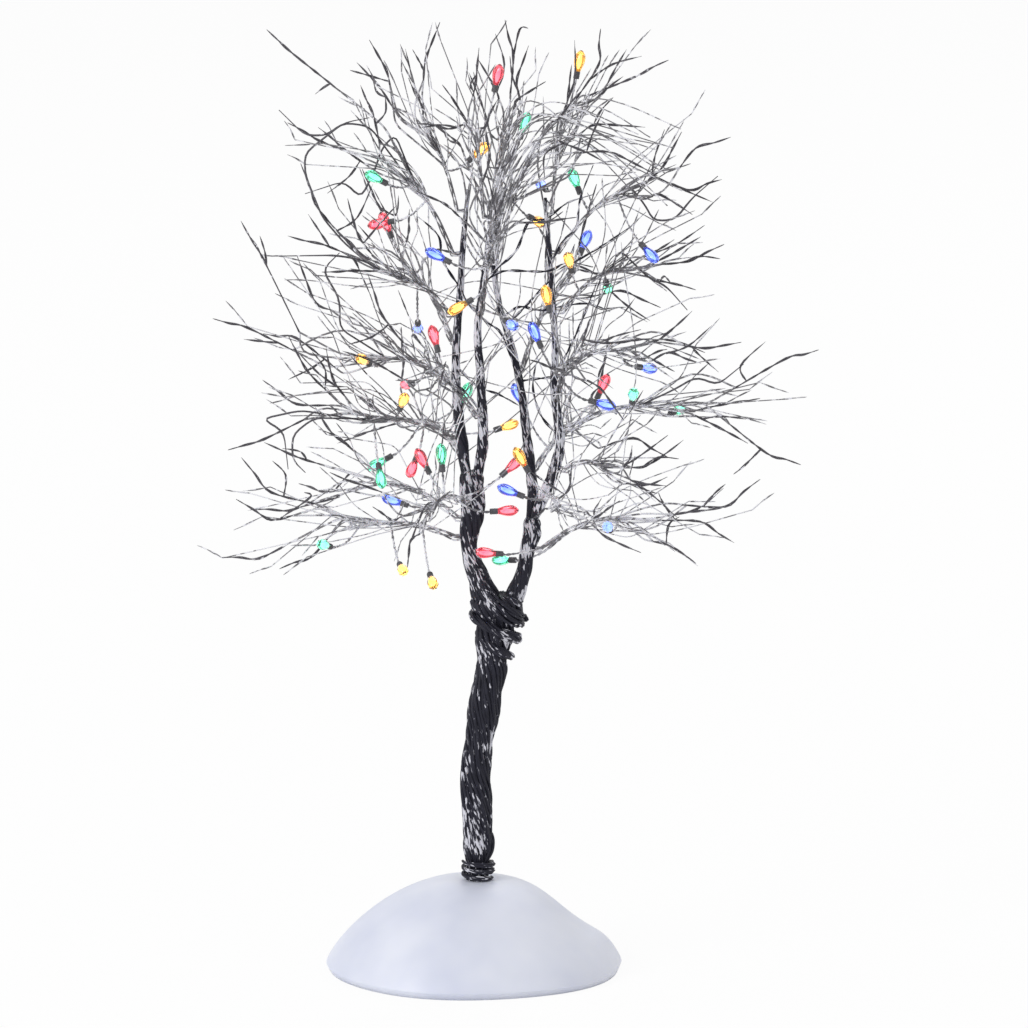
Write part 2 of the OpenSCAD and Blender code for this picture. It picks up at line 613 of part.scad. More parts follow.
// Boughs: name, limb, height of the root, hand where the twigs spread, chosen tips, further twigs, draw
BOUGHS = [
    ["bough_left_low", LEFT_LEADER, 82, [-30, -6, 85],
        [[-59.5, -4, 78], [-56, -14, 94], [-55, 0, 101], [-46, -12, 77]], 10, 1],
    ["bough_left_rear_low", LEFT_LEADER, 86, [-24, 14, 92],
        [[-50, 22, 100], [-42, 32, 88], [-53, 12, 86], [-38, 24, 108]], 7, 2],
    ["bough_left_mid", STEM_LEFT, 105, [-26, -3, 110],
        [[-58, -6, 104], [-50, 2, 119], [-44, -4, 131], [-35, -10, 129]], 10, 3],
    ["bough_left_upper", STEM_LEFT, 118, [-22, 5, 123],
        [[-61.5, 0, 134], [-50, 12, 128], [-55, 6, 156], [-42, 10, 147]], 9, 44],
    ["bough_left_high", STEM_LEFT, 134, [-18, 0, 143],
        [[-36, -10, 147], [-44, -2, 154], [-41, 4, 170], [-30, -8, 164]], 9, 5],
    ["bough_upper_left", STEM_LEFT, 148, [-16, 4, 166],
        [[-48.8, 2, 202], [-44, 2, 180], [-37, 12, 177], [-27, -4, 190]], 9, 6],
    ["bough_top_left", STEM_LEFT, 158, [-11, 9, 176],
        [[-25, 5, 199], [-28, 14, 192], [-8.6, 6, 203], [-16, 16, 188]], 9, 7],
    ["bough_top_centre", STEM_CENTRE, 159, [0, -6, 177],
        [[0.5, -5, 199], [5, -10, 188], [-8, -9, 191], [-14, -10, 182]], 9, 8],
    ["bough_top_rear", STEM_INNER, 153, [6, 11, 176],
        [[6.5, 9, 203], [12, 14, 196], [0, 20, 192], [16, 22, 186]], 8, 29],
    ["bough_top_right", STEM_RIGHT, 159, [19, 1, 176],
        [[28.7, 3, 202], [22, 6, 193], [44.5, 1, 195], [34, 7, 190]], 10, 10],
    ["bough_arch_right", STEM_CENTRE, 148, [14, -9, 178],
        [[39, -9, 181], [42, -12, 170], [30, -17, 174], [24, -12, 190]], 10, 11],
    ["bough_right_high", STEM_RIGHT, 150, [34, 0, 164],
        [[59, 0, 177], [57, 5, 166], [47.5, -4, 179], [50, -7, 160]], 9, 12],
    ["bough_right_upper", STEM_RIGHT, 136, [34, 4, 145],
        [[57.5, 3, 151], [51, 9, 139], [52, -3, 154], [46, 14, 150]], 8, 13],
    ["bough_right_mid", STEM_RIGHT, 122, [34, -6, 127],
        [[50, -6, 137], [46, 2, 121], [61.5, -3, 129], [52, -13, 126]], 8, 14],
    ["bough_right_out", STEM_RIGHT, 109, [44, -3, 113],
        [[79.5, -2, 127], [66, 5, 114], [75.5, 1, 99], [63, -8, 106]], 9, 15],
    ["bough_right_low", RIGHT_LEADER, 79, [35, -3, 87],
        [[66, -1, 96], [60, 3, 80], [57, -10, 91], [51, -6, 77]], 10, 16],
    ["bough_right_inner", STEM_RIGHT, 99, [31, -10, 99],
        [[48, -9, 107], [44, -18, 98], [42, -3, 93], [36, -20, 108]], 8, 37],
    ["bough_front_left", LEFT_LEADER, 91, [-12, -25, 93],
        [[-24, -46, 99], [-6, -52, 104], [-34, -36, 105], [-16, -48, 85]], 8, 18],
    ["bough_front_right", STEM_RIGHT, 92, [19, -26, 93],
        [[33, -44, 100], [13, -54, 98], [38, -36, 86], [22, -48, 110]], 8, 19],
    ["bough_front_mid_left", STEM_CENTRE, 112, [-12, -24, 126],
        [[-31, -38, 134], [-15, -50, 140], [-25, -34, 151], [-4, -50, 126]], 8, 20],
    ["bough_front_mid_right", STEM_RIGHT, 116, [22, -27, 130],
        [[40, -38, 137], [26, -50, 144], [12, -48, 134], [34, -40, 118]], 8, 21],
    ["bough_front_high", STEM_CENTRE, 136, [4, -22, 157],
        [[-14, -35, 171], [7, -42, 173], [23, -36, 165], [2, -29, 185]], 8, 22],
    ["bough_rear_left", STEM_LEFT, 101, [-14, 28, 104],
        [[-30, 44, 108], [-8, 55, 110], [-33, 40, 96], [-18, 50, 122]], 7, 23],
    ["bough_rear_right", STEM_INNER, 97, [24, 28, 102],
        [[42, 42, 107], [20, 55, 108], [45, 33, 94], [31, 46, 121]], 7, 24],
    ["bough_rear_mid_left", STEM_LEFT, 127, [-15, 28, 139],
        [[-33, 40, 147], [-16, 51, 150], [-27, 34, 163], [-4, 49, 140]], 7, 25],
    ["bough_rear_mid_right", STEM_INNER, 120, [19, 30, 135],
        [[36, 42, 141], [14, 53, 146], [43, 33, 130], [28, 41, 158]], 7, 26],
    ["bough_rear_high", STEM_INNER, 142, [6, 26, 164],
        [[-12, 37, 174], [9, 42, 178], [23, 33, 170], [-2, 34, 186]], 7, 27]];
NAME = 0;
LIMB = 1;
ROOT = 2;
HAND = 3;
TIPS = 4;
FURTHER = 5;
DRAW = 6;

// A bough's bundle leaves the side of its limb level, then arches to its hand
bough_lift = 5;
bough_neck = 1.2;
bough_arcs = 4;
root_share = 0.8;
hand_share = 0.9;
function root_r(b) = min(bough_d / 2, root_share * at_height(b[LIMB], b[ROOT])[3]);
function bough_root(b, reach) =
    let (
        axis = at_height(b[LIMB], b[ROOT]),
        rise = place(at_height(b[LIMB], b[ROOT] + 1)) - place(axis),
        out = unit([b[HAND].x - axis.x, b[HAND].y - axis.y, 0]))
    place(axis) + out * (axis[3] + fit + abs(rise * out) * root_r(b) + reach);
function bough_arc(b, i) =
    let (start = bough_root(b, bough_neck))
    curve(start, mix(start, b[HAND], 0.5) + [0, 0, bough_lift], b[HAND], i / bough_arcs);
function bough_point(b, f) =
    let (i = min(floor(f * bough_arcs), bough_arcs - 1))
    mix(bough_arc(b, i), bough_arc(b, i + 1), f * bough_arcs - i);
function bough_aim(b, f) = let (i = floor(f * bough_arcs)) unit(bough_arc(b, i + 1) - bough_arc(b, i));
function bough_line(b) =
    [[each bough_root(b, 0), root_r(b)],
     for (i = [0 : bough_arcs]) [each bough_arc(b, i), mix(root_r(b), hand_share * twig_d, i / bough_arcs)]];

// A twig leaves its bundle at a slant, bends over to its tip, kinks on the way and ends in a thick twist
twig_bend = 0.45;
twig_kink = 0.2;
twig_ring = 0.35;
tip_ring = 0.55;
tip_kink = 0.4;
twig_scatter = 22;
chosen_reach = [0.78, 0.97];
further_reach = [0.35, 0.75];
further_share = 0.7;
further_out = [0.6, 0.32];
function twig_line(start, aim, tip, i, draw, tip_share) =
    let (
        reach = norm(tip - start),
        bend = start + unit(aim + unit(tip - start)) * reach * twig_bend,
        kink = first_side(aim) * (chance(i, draw) - 0.5) * reach * twig_kink,
        twist_f = 1 - tip_l * tip_share / reach,
        thin = twig_d / 2)
    [[each start, thin],
     [each curve(start, bend, tip, twig_ring), thin],
     [each curve(start, bend, tip, twist_f) + kink, thin],
     [each curve(start, bend, tip, mix(twist_f, 1, tip_ring)) + kink * tip_kink, tip_d * tip_share / 2],
     [each tip, thin / 2]];
function chosen_twigs(b, draw) =
    let (n = len(b[TIPS]))
    [for (i = [0 : n - 1])
        let (f = mix(chosen_reach[0], chosen_reach[1], (i + 0.5) / n))
        twig_line(bough_point(b, f), bough_aim(b, f), b[TIPS][i], i, draw, 1)];
function further_tip(b, i, draw) =
    let (
        n = len(b[TIPS]),
        next = i + 1 + floor(2 * chance(i, draw + 3)),
        between = mix(b[TIPS][i % n], b[TIPS][next % n], 0.25 + 0.5 * chance(i, draw + 7)),
        scatter = [for (axis = [11, 13, 17]) chance(i, draw + axis) - 0.5] * twig_scatter)
    mix(b[HAND], between, further_out[0] + further_out[1] * chance(i, draw + 19)) + scatter;
function further_twigs(b, draw) =
    [for (i = [0 : b[FURTHER] - 1])
        let (f = mix(further_reach[0], further_reach[1], (i + 0.5) / b[FURTHER]))
        twig_line(bough_point(b, f), bough_aim(b, f), further_tip(b, i, draw), i + 50, draw, further_share)];

// Lamps: colour, place of the sleeve's seat; each hangs on a stalk from the nearest point of a bough
RED = 0;
GREEN = 1;
BLUE = 2;
AMBER = 3;
LAMPS = [
    [RED, [4, -7, 189]], [RED, [-19, 6, 156]], [RED, [-11, -9, 99]], [RED, [-14, -4, 102]],
    [RED, [5.5, -7, 98]], [RED, [3, -9, 90]], [RED, [6, -5, 79]], [RED, [-9, -10, 128]],
    [RED, [-15, 12, 116]], [GREEN, [-21, 0, 166]], [GREEN, [24, 3, 163]], [GREEN, [30, 4, 142]],
    [GREEN, [36, -14, 117]], [GREEN, [-8, -12, 100]], [GREEN, [-23, -7, 101]], [GREEN, [-4, 12, 110]],
    [GREEN, [45, 2, 111]], [GREEN, [-34, -20, 84]], [GREEN, [9, 7, 75]], [BLUE, [6.5, -22, 138]],
    [BLUE, [-6, -14, 150]], [BLUE, [16, 8, 163]], [BLUE, [38, -6, 153]], [BLUE, [37, -2, 123]],
    [BLUE, [31, -16, 87]], [BLUE, [15, -10, 129]], [BLUE, [26, -12, 117]], [BLUE, [-16, -16, 93]],
    [BLUE, [11, 12, 110]], [BLUE, [11, -16, 95]], [AMBER, [23, 4, 190]], [AMBER, [-2, 7, 170]],
    [AMBER, [-1, -12, 141]], [AMBER, [22, -9, 147]], [AMBER, [17, -13, 138]], [AMBER, [-25, -4, 124]],
    [AMBER, [-18, -8, 114]], [AMBER, [12, -12, 100]], [AMBER, [-18, -16, 79]], [AMBER, [-11, -13, 76]],
    [RED, [-20, 26, 148]], [RED, [28, 24, 110]], [GREEN, [10, 24, 172]], [GREEN, [-20, 26, 96]],
    [BLUE, [-14, 36, 126]], [BLUE, [24, 36, 142]], [AMBER, [4, 36, 100]], [AMBER, [12, 32, 152]]];
function nearest_spot(at) =
    let (
        spots = [for (k = [0 : len(BOUGHS) - 1], f = [0.3 : 0.1 : 0.9])
            [norm(bough_point(BOUGHS[k], f) - at), k, f]],
        least = min([for (s = spots) s[0]]))
    [for (s = spots) if (s[0] == least) s][0];
SPOTS = [for (l = LAMPS) nearest_spot(l[1])];
function lamp_start(i) = bough_point(BOUGHS[SPOTS[i][1]], SPOTS[i][2]);
lamp_lift = 0.4;
stalk_sag = 0.08;
function lamp_axis(i) = unit(unit(LAMPS[i][1] - lamp_start(i)) + [0, 0, lamp_lift]);
function stalk_line(i) =
    let (
        start = lamp_start(i),
        end = LAMPS[i][1],
        before = end - lamp_axis(i) * 2 * stalk_d,
        middle = mix(start, before, 0.5) - [0, 0, stalk_sag * norm(end - start)])
    [for (p = [start, middle, before, end]) [each p, stalk_d / 2]];

module bough(k) color(bark) on_mound() {
    b = BOUGHS[k];
    tube(bough_line(b), wire_sides);
    for (line = concat(chosen_twigs(b, b[DRAW]), further_twigs(b, b[DRAW]))) tube(line, twig_sides);
    for (i = [0 : len(LAMPS) - 1])
        if (SPOTS[i][1] == k) tube(stalk_line(i), stalk_sides);
}

module on_stalk(i) {
    axis = lamp_axis(i);
    on_mound()
        translate(LAMPS[i][1])
            rotate([0, acos(axis.z), atan2(axis.y, axis.x)]) children();
}
lens_steps = 8;
lens_shoulder = 0.62;
lens_neck = 0.55;
function lens_share(f) =
    f < lens_shoulder
    ? mix(lens_neck, 1, sin(90 * f / lens_shoulder))
    : sqrt(max(0, 1 - pow((f - lens_shoulder) / (1 - lens_shoulder), 3)));
module lens() {
    translate([0, 0, sleeve_l])
        rotate_extrude()
            polygon(concat([[0, 0]],
                [for (k = [0 : lens_steps])
                    let (f = k / lens_steps) [lens_share(f) * lens_d / 2, lens_l * f]]));
}
module lamps(colour) color(lens_colours[colour])
    for (i = [0 : len(LAMPS) - 1]) if (LAMPS[i][0] == colour) on_stalk(i) lens();
module lamp_sleeves() color(black)
    for (i = [0 : len(LAMPS) - 1]) on_stalk(i) cylinder(d = sleeve_d, h = sleeve_l);

BASE_NODES = [
    "snow_mound", "base_plate", "base_screws", "battery_door", "door_screw", "battery_cell_left",
    "battery_cell_right", "contact_bridge", "contact_negative", "contact_positive",
    "contact_spring_front", "contact_spring_rear", "switch_body", "switch_knob", "circuit_board",
    "resistor", "leads_negative", "lead_positive"];
LIMB_NODES = ["trunk", "left_leader", "right_leader", "stem_left", "stem_centre", "stem_inner", "stem_right",
    "foot_winding", "fork_winding"];
LAMP_NODES = ["lamps_red", "lamps_green", "lamps_blue", "lamps_amber", "lamp_sleeves"];

snow_mound();
base_plate();
base_screws();
battery_door();
door_screw();
battery_cell_left();
battery_cell_right();
contact_bridge();
contact_negative();
contact_positive();
contact_spring_front();
contact_spring_rear();
switch_body();
switch_knob();
circuit_board();
resistor();
leads_negative();
lead_positive();
trunk();
left_leader();
right_leader();
stem_left();
stem_centre();
stem_inner();
stem_right();
foot_winding();
fork_winding();
for (k = [0 : len(BOUGHS) - 1]) bough(k);
for (c = [RED : AMBER]) lamps(c);
lamp_sleeves();
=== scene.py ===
# Looks of the lighted miniature tree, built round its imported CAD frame.
import math

import bpy
import numpy as np
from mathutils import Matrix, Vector


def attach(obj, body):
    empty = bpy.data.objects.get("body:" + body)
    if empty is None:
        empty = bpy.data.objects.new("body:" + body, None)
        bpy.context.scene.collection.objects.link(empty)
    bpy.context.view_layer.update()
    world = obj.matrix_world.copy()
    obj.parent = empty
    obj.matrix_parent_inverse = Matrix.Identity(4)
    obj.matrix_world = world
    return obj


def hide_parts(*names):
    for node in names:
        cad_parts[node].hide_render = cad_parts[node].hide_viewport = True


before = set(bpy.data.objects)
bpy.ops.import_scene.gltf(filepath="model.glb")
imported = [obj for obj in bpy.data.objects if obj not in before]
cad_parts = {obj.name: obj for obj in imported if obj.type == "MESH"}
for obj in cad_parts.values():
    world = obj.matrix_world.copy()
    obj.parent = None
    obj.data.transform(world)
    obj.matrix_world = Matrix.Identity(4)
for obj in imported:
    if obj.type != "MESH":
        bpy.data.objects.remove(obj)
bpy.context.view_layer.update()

# Sizes in millimetres, and shares of them, as in the part's source
MM = 0.001
TREE = "tree"
MOUND_R = 34.2
MOUND_H = 21.3
RIM_H = 1.6
MOUND_SHIFT = 0.8
MOUND_FLAT = 0.18
DRIFT_RISE = 1.6
DRIFT_AT = (30, -4)
DRIFT_SIZE = (4, 10)
DIP_DEPTH = 3.6
DIP_AT = (21, 5)
DIP_SIZE = (8, 18)
PLATE_R = 30.1
PLATE_TOP = 1.8
SOCKET_DEPTH = 7.0
TRUNK_D = 7.0
LEADER_D = 4.2
STEM_D = 3.0
PEG_D = 5.2
BOUGH_D = 2.0
BOUGH_LIFT = 5.0
BOUGH_NECK = 1.2
BOUGH_ARCS = 4
ROOT_SHARE = 0.8
TWIG_D = 0.5
TWIG_BEND = 0.45
TWIG_RING = 0.35
TIP_RING = 0.55
TIP_KINK = 0.4
TWIG_KINK = 0.2
TWIG_SCATTER = 22
CHOSEN_REACH = (0.78, 0.97)
FURTHER_REACH = (0.35, 0.75)
FURTHER_SHARE = 0.7
FURTHER_OUT = (0.6, 0.32)
FURTHER_DRAW = 50
BETWEEN_SPAN = (0.25, 0.75)
TIP_L = 8.0
LENS_D = 2.4
LENS_L = 5.0
LENS_SHOULDER = 0.62
LENS_NECK = 0.55
LENS_POWERS = (2, 0.7)
SLEEVE_D = 1.6
SLEEVE_L = 1.8
STALK_D = 0.7
STALK_SAG = 0.08
LAMP_LIFT = 0.4
FOOT_WIRE_D = 1.1
FOOT_RISE = 4.0
FOOT_LOOPS = 2.5
FORK_WIRE_D = 2.2
FORK_LOW = 55.2
FORK_RISE = 8.8
FORK_LOOPS = 2
FORK_TILT = 1.6
FORK_SLACK = 0.8
FIT = 0.1
CLEAR = 0.2
CHANCE_TURNS = (127.1, 311.7)
CHANCE_SPREAD = 43758.5453

# Tight bends of a wire: steps, longest reach in millimetres, and share of the stretch beside it
BEND_STEPS = 3
BEND_REACH = 2.2
BEND_SHARE = 0.4
# A direction whose share of height is larger counts as upright
UPRIGHT = 0.9


# Small helpers on numbers and vectors
def mix(a, b, f):
    return a + (b - a) * f


def vec(*values):
    return np.array(values, float)


def unit(v):
    return v / np.linalg.norm(v)


def chance(i, j):
    """A share from 0 to 1 that looks drawn and is the same on every run."""
    value = math.sin(math.radians(i * CHANCE_TURNS[0] + j * CHANCE_TURNS[1])) * CHANCE_SPREAD
    return value - math.floor(value)


def curve(a, b, c, f):
    """The point at a share of the way from a to c, on an arc pulled toward b."""
    return mix(mix(a, b, f), mix(b, c, f), f)


def spline_point(a, b, c, d, f):
    return (2 * b + (c - a) * f + (2 * a - 5 * b + 4 * c - d) * f**2 + (3 * b - a - 3 * c + d) * f**3) / 2


def through(points, steps):
    """A smooth line through all the points."""
    points = [np.asarray(p, float) for p in points]
    last = len(points) - 1
    line = []
    for i in range(last):
        corners = points[max(i - 1, 0)], points[i], points[i + 1], points[min(i + 2, last)]
        line += [spline_point(*corners, s / steps) for s in range(steps)]
    return np.array(line + [points[last]])


def capped(points, steps):
    """A smooth line whose first and last stretches stay straight."""
    points = np.array(points, float)
    return np.vstack([points[:1], through(points[1:-1], steps), points[-1:]])


def bent(points, steps=BEND_STEPS):
    """A line that runs straight between its points and turns in tight bends."""
    line = [points[0]]
    for a, b, c in zip(points, points[1:], points[2:]):
        before = b + unit(a - b) * min(BEND_REACH, BEND_SHARE * np.linalg.norm(a - b))
        after = b + unit(c - b) * min(BEND_REACH, BEND_SHARE * np.linalg.norm(c - b))
        line += [curve(before, b, after, s / steps) for s in range(steps + 1)]
    return np.array(line + [points[-1]])


def at_height(line, z):
    """The point of a rising line of [x, y, z, radius] at a height."""
    return np.array([np.interp(z, line[:, 2], line[:, k]) for k in range(line.shape[1])])


def first_side(d):
    """A direction square to another one."""
    axis = vec(0, 0, 1) if abs(d[2]) < UPRIGHT else vec(1, 0, 0)
    return unit(axis - d * (axis @ d))


def along(line):
    """Length from the start to each point of a line."""
    return np.concatenate([[0], np.cumsum(np.linalg.norm(np.diff(line, axis=0), axis=1))])


def sides_of(line):
    """Two directions square to a line at each of its points, carried along without twisting."""
    ahead = np.gradient(line, axis=0)
    ahead /= np.linalg.norm(ahead, axis=1, keepdims=True)
    side = [first_side(ahead[0])]
    for d in ahead[1:]:
        side.append(unit(side[-1] - d * (side[-1] @ d)))
    side = np.array(side)
    return side, np.cross(ahead, side)


def tapered(count, places, shares):
    """Shares of a thickness at evenly spaced points, from shares at a few places."""
    return np.interp(np.linspace(0, 1, count), places, shares)


# Strays and swellings of the wires in a bundle: size, waves a millimetre, and turn from wire to wire
STRAY = 8
STRAY_WAVES = (0.21, 0.26)
STRAY_TURN = 5
SWELL_WAVES = (0.5, 0.9)
SWELL_TURN = 7
PATTERN_LENGTH = 1000


class Mesh:
    """Gathers tubes and turned forms into one object, with a UV map in millimetres: round, then along."""

    def __init__(self, name):
        self.name = name
        self.points = []
        self.faces = []
        self.spots = []
        self.kinds = []
        self.count = 0
        self.tubes = 0

    def rings(self, rows, round_mm, along_mm, kind=0):
        """Joins rings of equal count and closes both ends."""
        rows = np.asarray(rows, float)
        rings, sides = rows.shape[:2]
        start = self.count + np.arange(rings)[:, None] * sides
        k = np.arange(sides)
        after = (k + 1) % sides
        quads = np.stack([start[:-1] + k, start[:-1] + after, start[1:] + after, start[1:] + k], axis=-1)
        left = k / sides * round_mm
        right = (k + 1) / sides * round_mm
        low, high = along_mm[:-1, None], along_mm[1:, None]
        full = np.zeros((rings - 1, sides))
        corners = [(left + full, low + full), (right + full, low + full), (right + full, high + full),
                   (left + full, high + full)]
        spots = np.stack([np.stack(c, axis=-1) for c in corners], axis=-2)
        ends = [list(start[0] + k[::-1]), list(start[-1] + k)]
        self.points.append(rows.reshape(-1, 3))
        self.faces += quads.reshape(-1, 4).tolist() + ends
        self.spots.append(spots.reshape(-1, 2))
        self.spots.append(np.full((2 * sides, 2), along_mm[0]))
        self.kinds += [kind] * (quads.shape[0] * sides + len(ends))
        self.count += rings * sides

    def tube(self, line, radius, sides, kind=0):
        """A round wire along a line, which starts at its own place in the frost's pattern."""
        radius = np.broadcast_to(np.asarray(radius, float), len(line))
        side, over = sides_of(line)
        angle = 2 * math.pi * np.arange(sides) / sides
        out = np.cos(angle)[:, None] * side[:, None] + np.sin(angle)[:, None] * over[:, None]
        rows = line[:, None] + radius[:, None, None] * out
        self.tubes += 1
        offset = PATTERN_LENGTH * chance(self.tubes, len(self.name))
        self.rings(rows, 2 * math.pi * radius.mean(), along(line) + offset, kind)

    def bundle(self, line, radius, strands, pitch, sides, kind=0, phase=0.0, wobble=0.0, fullness=1.0):
        """Wires twisted round a line out to a radius; at a fullness of 1 each wire touches the next."""
        radius = np.broadcast_to(np.asarray(radius, float), len(line))
        side, over = sides_of(line)
        reach = along(line)
        touch = math.sin(math.pi / strands)
        offset = radius / (1 + touch)
        for k in range(strands):
            stray = STRAY * wobble * np.sin(reach * mix(*STRAY_WAVES, chance(k, strands)) + STRAY_TURN * k)
            angle = phase + 2 * math.pi * ((k + stray) / strands + reach / pitch)
            wave = 1 + wobble * np.sin(reach * mix(*SWELL_WAVES, chance(k, strands + 1)) + SWELL_TURN * k)
            spun = np.cos(angle)[:, None] * side + np.sin(angle)[:, None] * over
            self.tube(line + (offset * wave)[:, None] * spun, fullness * offset * touch * wave, sides, kind)

    def turned(self, start, axis, profile, sides, kind=0, flutes=0, depth=0.0):
        """A form turned on an axis from a profile of [height, radius, share of the fluting]."""
        side = first_side(axis)
        over = np.cross(axis, side)
        angle = 2 * math.pi * np.arange(sides) / sides
        out = np.cos(angle)[:, None] * side + np.sin(angle)[:, None] * over
        rows = []
        for height, radius, share in profile:
            ridge = radius * (1 + depth * share * np.cos(flutes * angle))
            rows.append(start + axis * height + ridge[:, None] * out)
        heights = np.array([p[0] for p in profile])
        self.rings(rows, 2 * math.pi * max(p[1] for p in profile), heights, kind)

    def finish(self, materials, nodes, slot):
        """Makes the object, in metres, in place of its CAD nodes."""
        data = bpy.data.meshes.new(self.name)
        data.from_pydata((np.vstack(self.points) * MM).tolist(), [], self.faces)
        data.uv_layers.new(name="wire").data.foreach_set("uv", np.vstack(self.spots).ravel())
        for material in materials:
            data.materials.append(material)
        data.polygons.foreach_set("material_index", self.kinds)
        data.polygons.foreach_set("use_smooth", [True] * len(self.faces))
        data.update()
        made = bpy.data.objects.new(self.name, data)
        bpy.context.scene.collection.objects.link(made)
        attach(made, TREE)
        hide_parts(*nodes)


# Materials
EVEN = (1, 1, 1)
CLUSTER_SHARE = 0.7
FROST = (0.74, 0.74, 0.79)
FROST_SPAN = (85, 140)
FROST_RANGE = (0.35, 1.35)
FROST_EDGE = 0.05
BARK_GRAIN = (6, 2, 1)
GRAIN_STOPS = (0.3, 0.7)
GRAIN_ROUGHNESS = (-0.08, 0.1)
SNOW_TONES = [(0.3, (0.60, 0.63, 0.75)), (0.55, (0.70, 0.725, 0.82)), (0.75, (0.76, 0.78, 0.86))]
SNOW_SHINE = 0.12
SNOW_SHINE_REACH = (0.002, 0.002, 0.003)
FLOW = (1.2, 0.5, 1)
FLOW_STOPS = (0.3, 0.75)
LENS_COAT = 0.4


class Graph:
    """Adds shader nodes to a node tree, with their inputs linked or set."""

    def __init__(self, tree):
        self.nodes = tree.nodes
        self.links = tree.links

    def fill(self, node, inputs):
        """Links each named input to another node's output, or sets it to a constant."""
        for name, value in inputs.items():
            if isinstance(value, bpy.types.NodeSocket):
                self.links.new(value, node.inputs[name])
            else:
                node.inputs[name].default_value = value
        return node

    def add(self, kind, **inputs):
        return self.fill(self.nodes.new(kind), inputs)

    def maths(self, operation, *values):
        node = self.nodes.new("ShaderNodeMath")
        node.operation = operation
        return self.fill(node, dict(enumerate(values))).outputs["Value"]

    def noise(self, source, stretch, scale, detail):
        """A noise texture on stretched coordinates."""
        coords = self.add("ShaderNodeTexCoord").outputs[source]
        place = self.add("ShaderNodeMapping", Vector=coords, Scale=stretch).outputs["Vector"]
        return self.add("ShaderNodeTexNoise", Vector=place, Scale=scale, Detail=detail).outputs["Fac"]

    def ramp(self, value, stops):
        """Colours by value, from a list of (place, colour)."""
        ramp = self.add("ShaderNodeValToRGB", Fac=value)
        elements = ramp.color_ramp.elements
        while len(elements) < len(stops):
            elements.new(1)
        for element, (place, colour) in zip(elements, stops):
            element.position = place
            element.color = (*colour, 1)
        return ramp.outputs["Color"]

    def bump(self, value, strength, depth):
        """Relief of the surface by value, with its depth in millimetres."""
        relief = self.add("ShaderNodeBump", Height=value, Strength=strength, Distance=depth * MM)
        return relief.outputs["Normal"]

    def spread(self, value, low, high, from_low=0.0, from_high=1.0):
        """A value carried from one range to another."""
        ends = {"From Min": from_low, "From Max": from_high, "To Min": low, "To Max": high}
        return self.fill(self.add("ShaderNodeMapRange", Value=value), ends).outputs["Result"]

    def height(self, low, high):
        """0 below one height of the object and 1 above another, in millimetres."""
        coords = self.add("ShaderNodeTexCoord").outputs["Object"]
        parts = self.add("ShaderNodeSeparateXYZ", Vector=coords)
        return self.spread(parts.outputs["Z"], 0.0, 1.0, low * MM, high * MM)


def blank(name):
    """A new material with its graph and its shader."""
    material = bpy.data.materials.new(name)
    material.use_nodes = True
    graph = Graph(material.node_tree)
    return material, graph, graph.nodes["Principled BSDF"]


def frosted(name, dark, worn, frost, start, stretch, cluster, gloss, rise):
    """Dark coated wire with clusters of short white frost dashes, more of them up the tree by a rise."""
    material, graph, body = blank(name)
    dashes = graph.noise("UV", stretch, scale=1.0, detail=2.0)
    clusters = graph.noise("Object", EVEN, cluster, detail=2.0)
    frosting = graph.maths("MULTIPLY_ADD", clusters, CLUSTER_SHARE, dashes)
    frosting = graph.maths("MULTIPLY_ADD", graph.height(*FROST_SPAN), rise, frosting)
    grain = graph.noise("UV", BARK_GRAIN, scale=1.0, detail=4.0)
    stops = [(0.0, dark), (start - FROST_EDGE, worn), (start, frost)]
    shade = graph.spread(frosting, 0.0, 1.0, *FROST_RANGE)
    graph.fill(body, {
        "Base Color": graph.ramp(shade, stops), "Roughness": graph.spread(shade, low=0.38, high=0.7),
        "Specular IOR Level": gloss, "Normal": graph.bump(grain, strength=0.5, depth=0.15)})
    return material


def grained(name, dark, light, scale, roughness, metallic=0.0, stretch=EVEN):
    """A moulded, metal or painted surface with a fine grain."""
    material, graph, body = blank(name)
    grain = graph.noise("Object", stretch, scale, detail=5.0)
    low, high = (roughness + change for change in GRAIN_ROUGHNESS)
    stops = list(zip(GRAIN_STOPS, (dark, light)))
    graph.fill(body, {
        "Base Color": graph.ramp(grain, stops), "Roughness": graph.spread(grain, low, high),
        "Metallic": metallic, "Normal": graph.bump(grain, strength=0.2, depth=0.05)})
    return material


def snow():
    """Pale lavender moulded snow with soft drifts of tone and a fine sparkle."""
    material, graph, body = blank("snow")
    drifts = graph.noise("Object", EVEN, scale=38.0, detail=3.0)
    grain = graph.noise("Object", EVEN, scale=1400.0, detail=4.0)
    graph.fill(body, {
        "Base Color": graph.ramp(drifts, SNOW_TONES), "Roughness": graph.spread(grain, low=0.38, high=0.58),
        "Subsurface Weight": SNOW_SHINE, "Subsurface Radius": SNOW_SHINE_REACH,
        "Normal": graph.bump(grain, strength=0.12, depth=0.12)})
    return material


def glowing(name, colour, light, glow, strength, transmission):
    """Tinted clear plastic that glows in its own colour."""
    material, graph, body = blank(name)
    flow = graph.noise("UV", FLOW, scale=1.0, detail=2.0)
    stops = list(zip(FLOW_STOPS, (colour, light)))
    graph.fill(body, {
        "Base Color": graph.ramp(flow, stops), "Roughness": graph.spread(flow, low=0.06, high=0.18),
        "Transmission Weight": transmission, "Coat Weight": LENS_COAT,
        "Emission Color": (*glow, 1), "Emission Strength": strength})
    return material


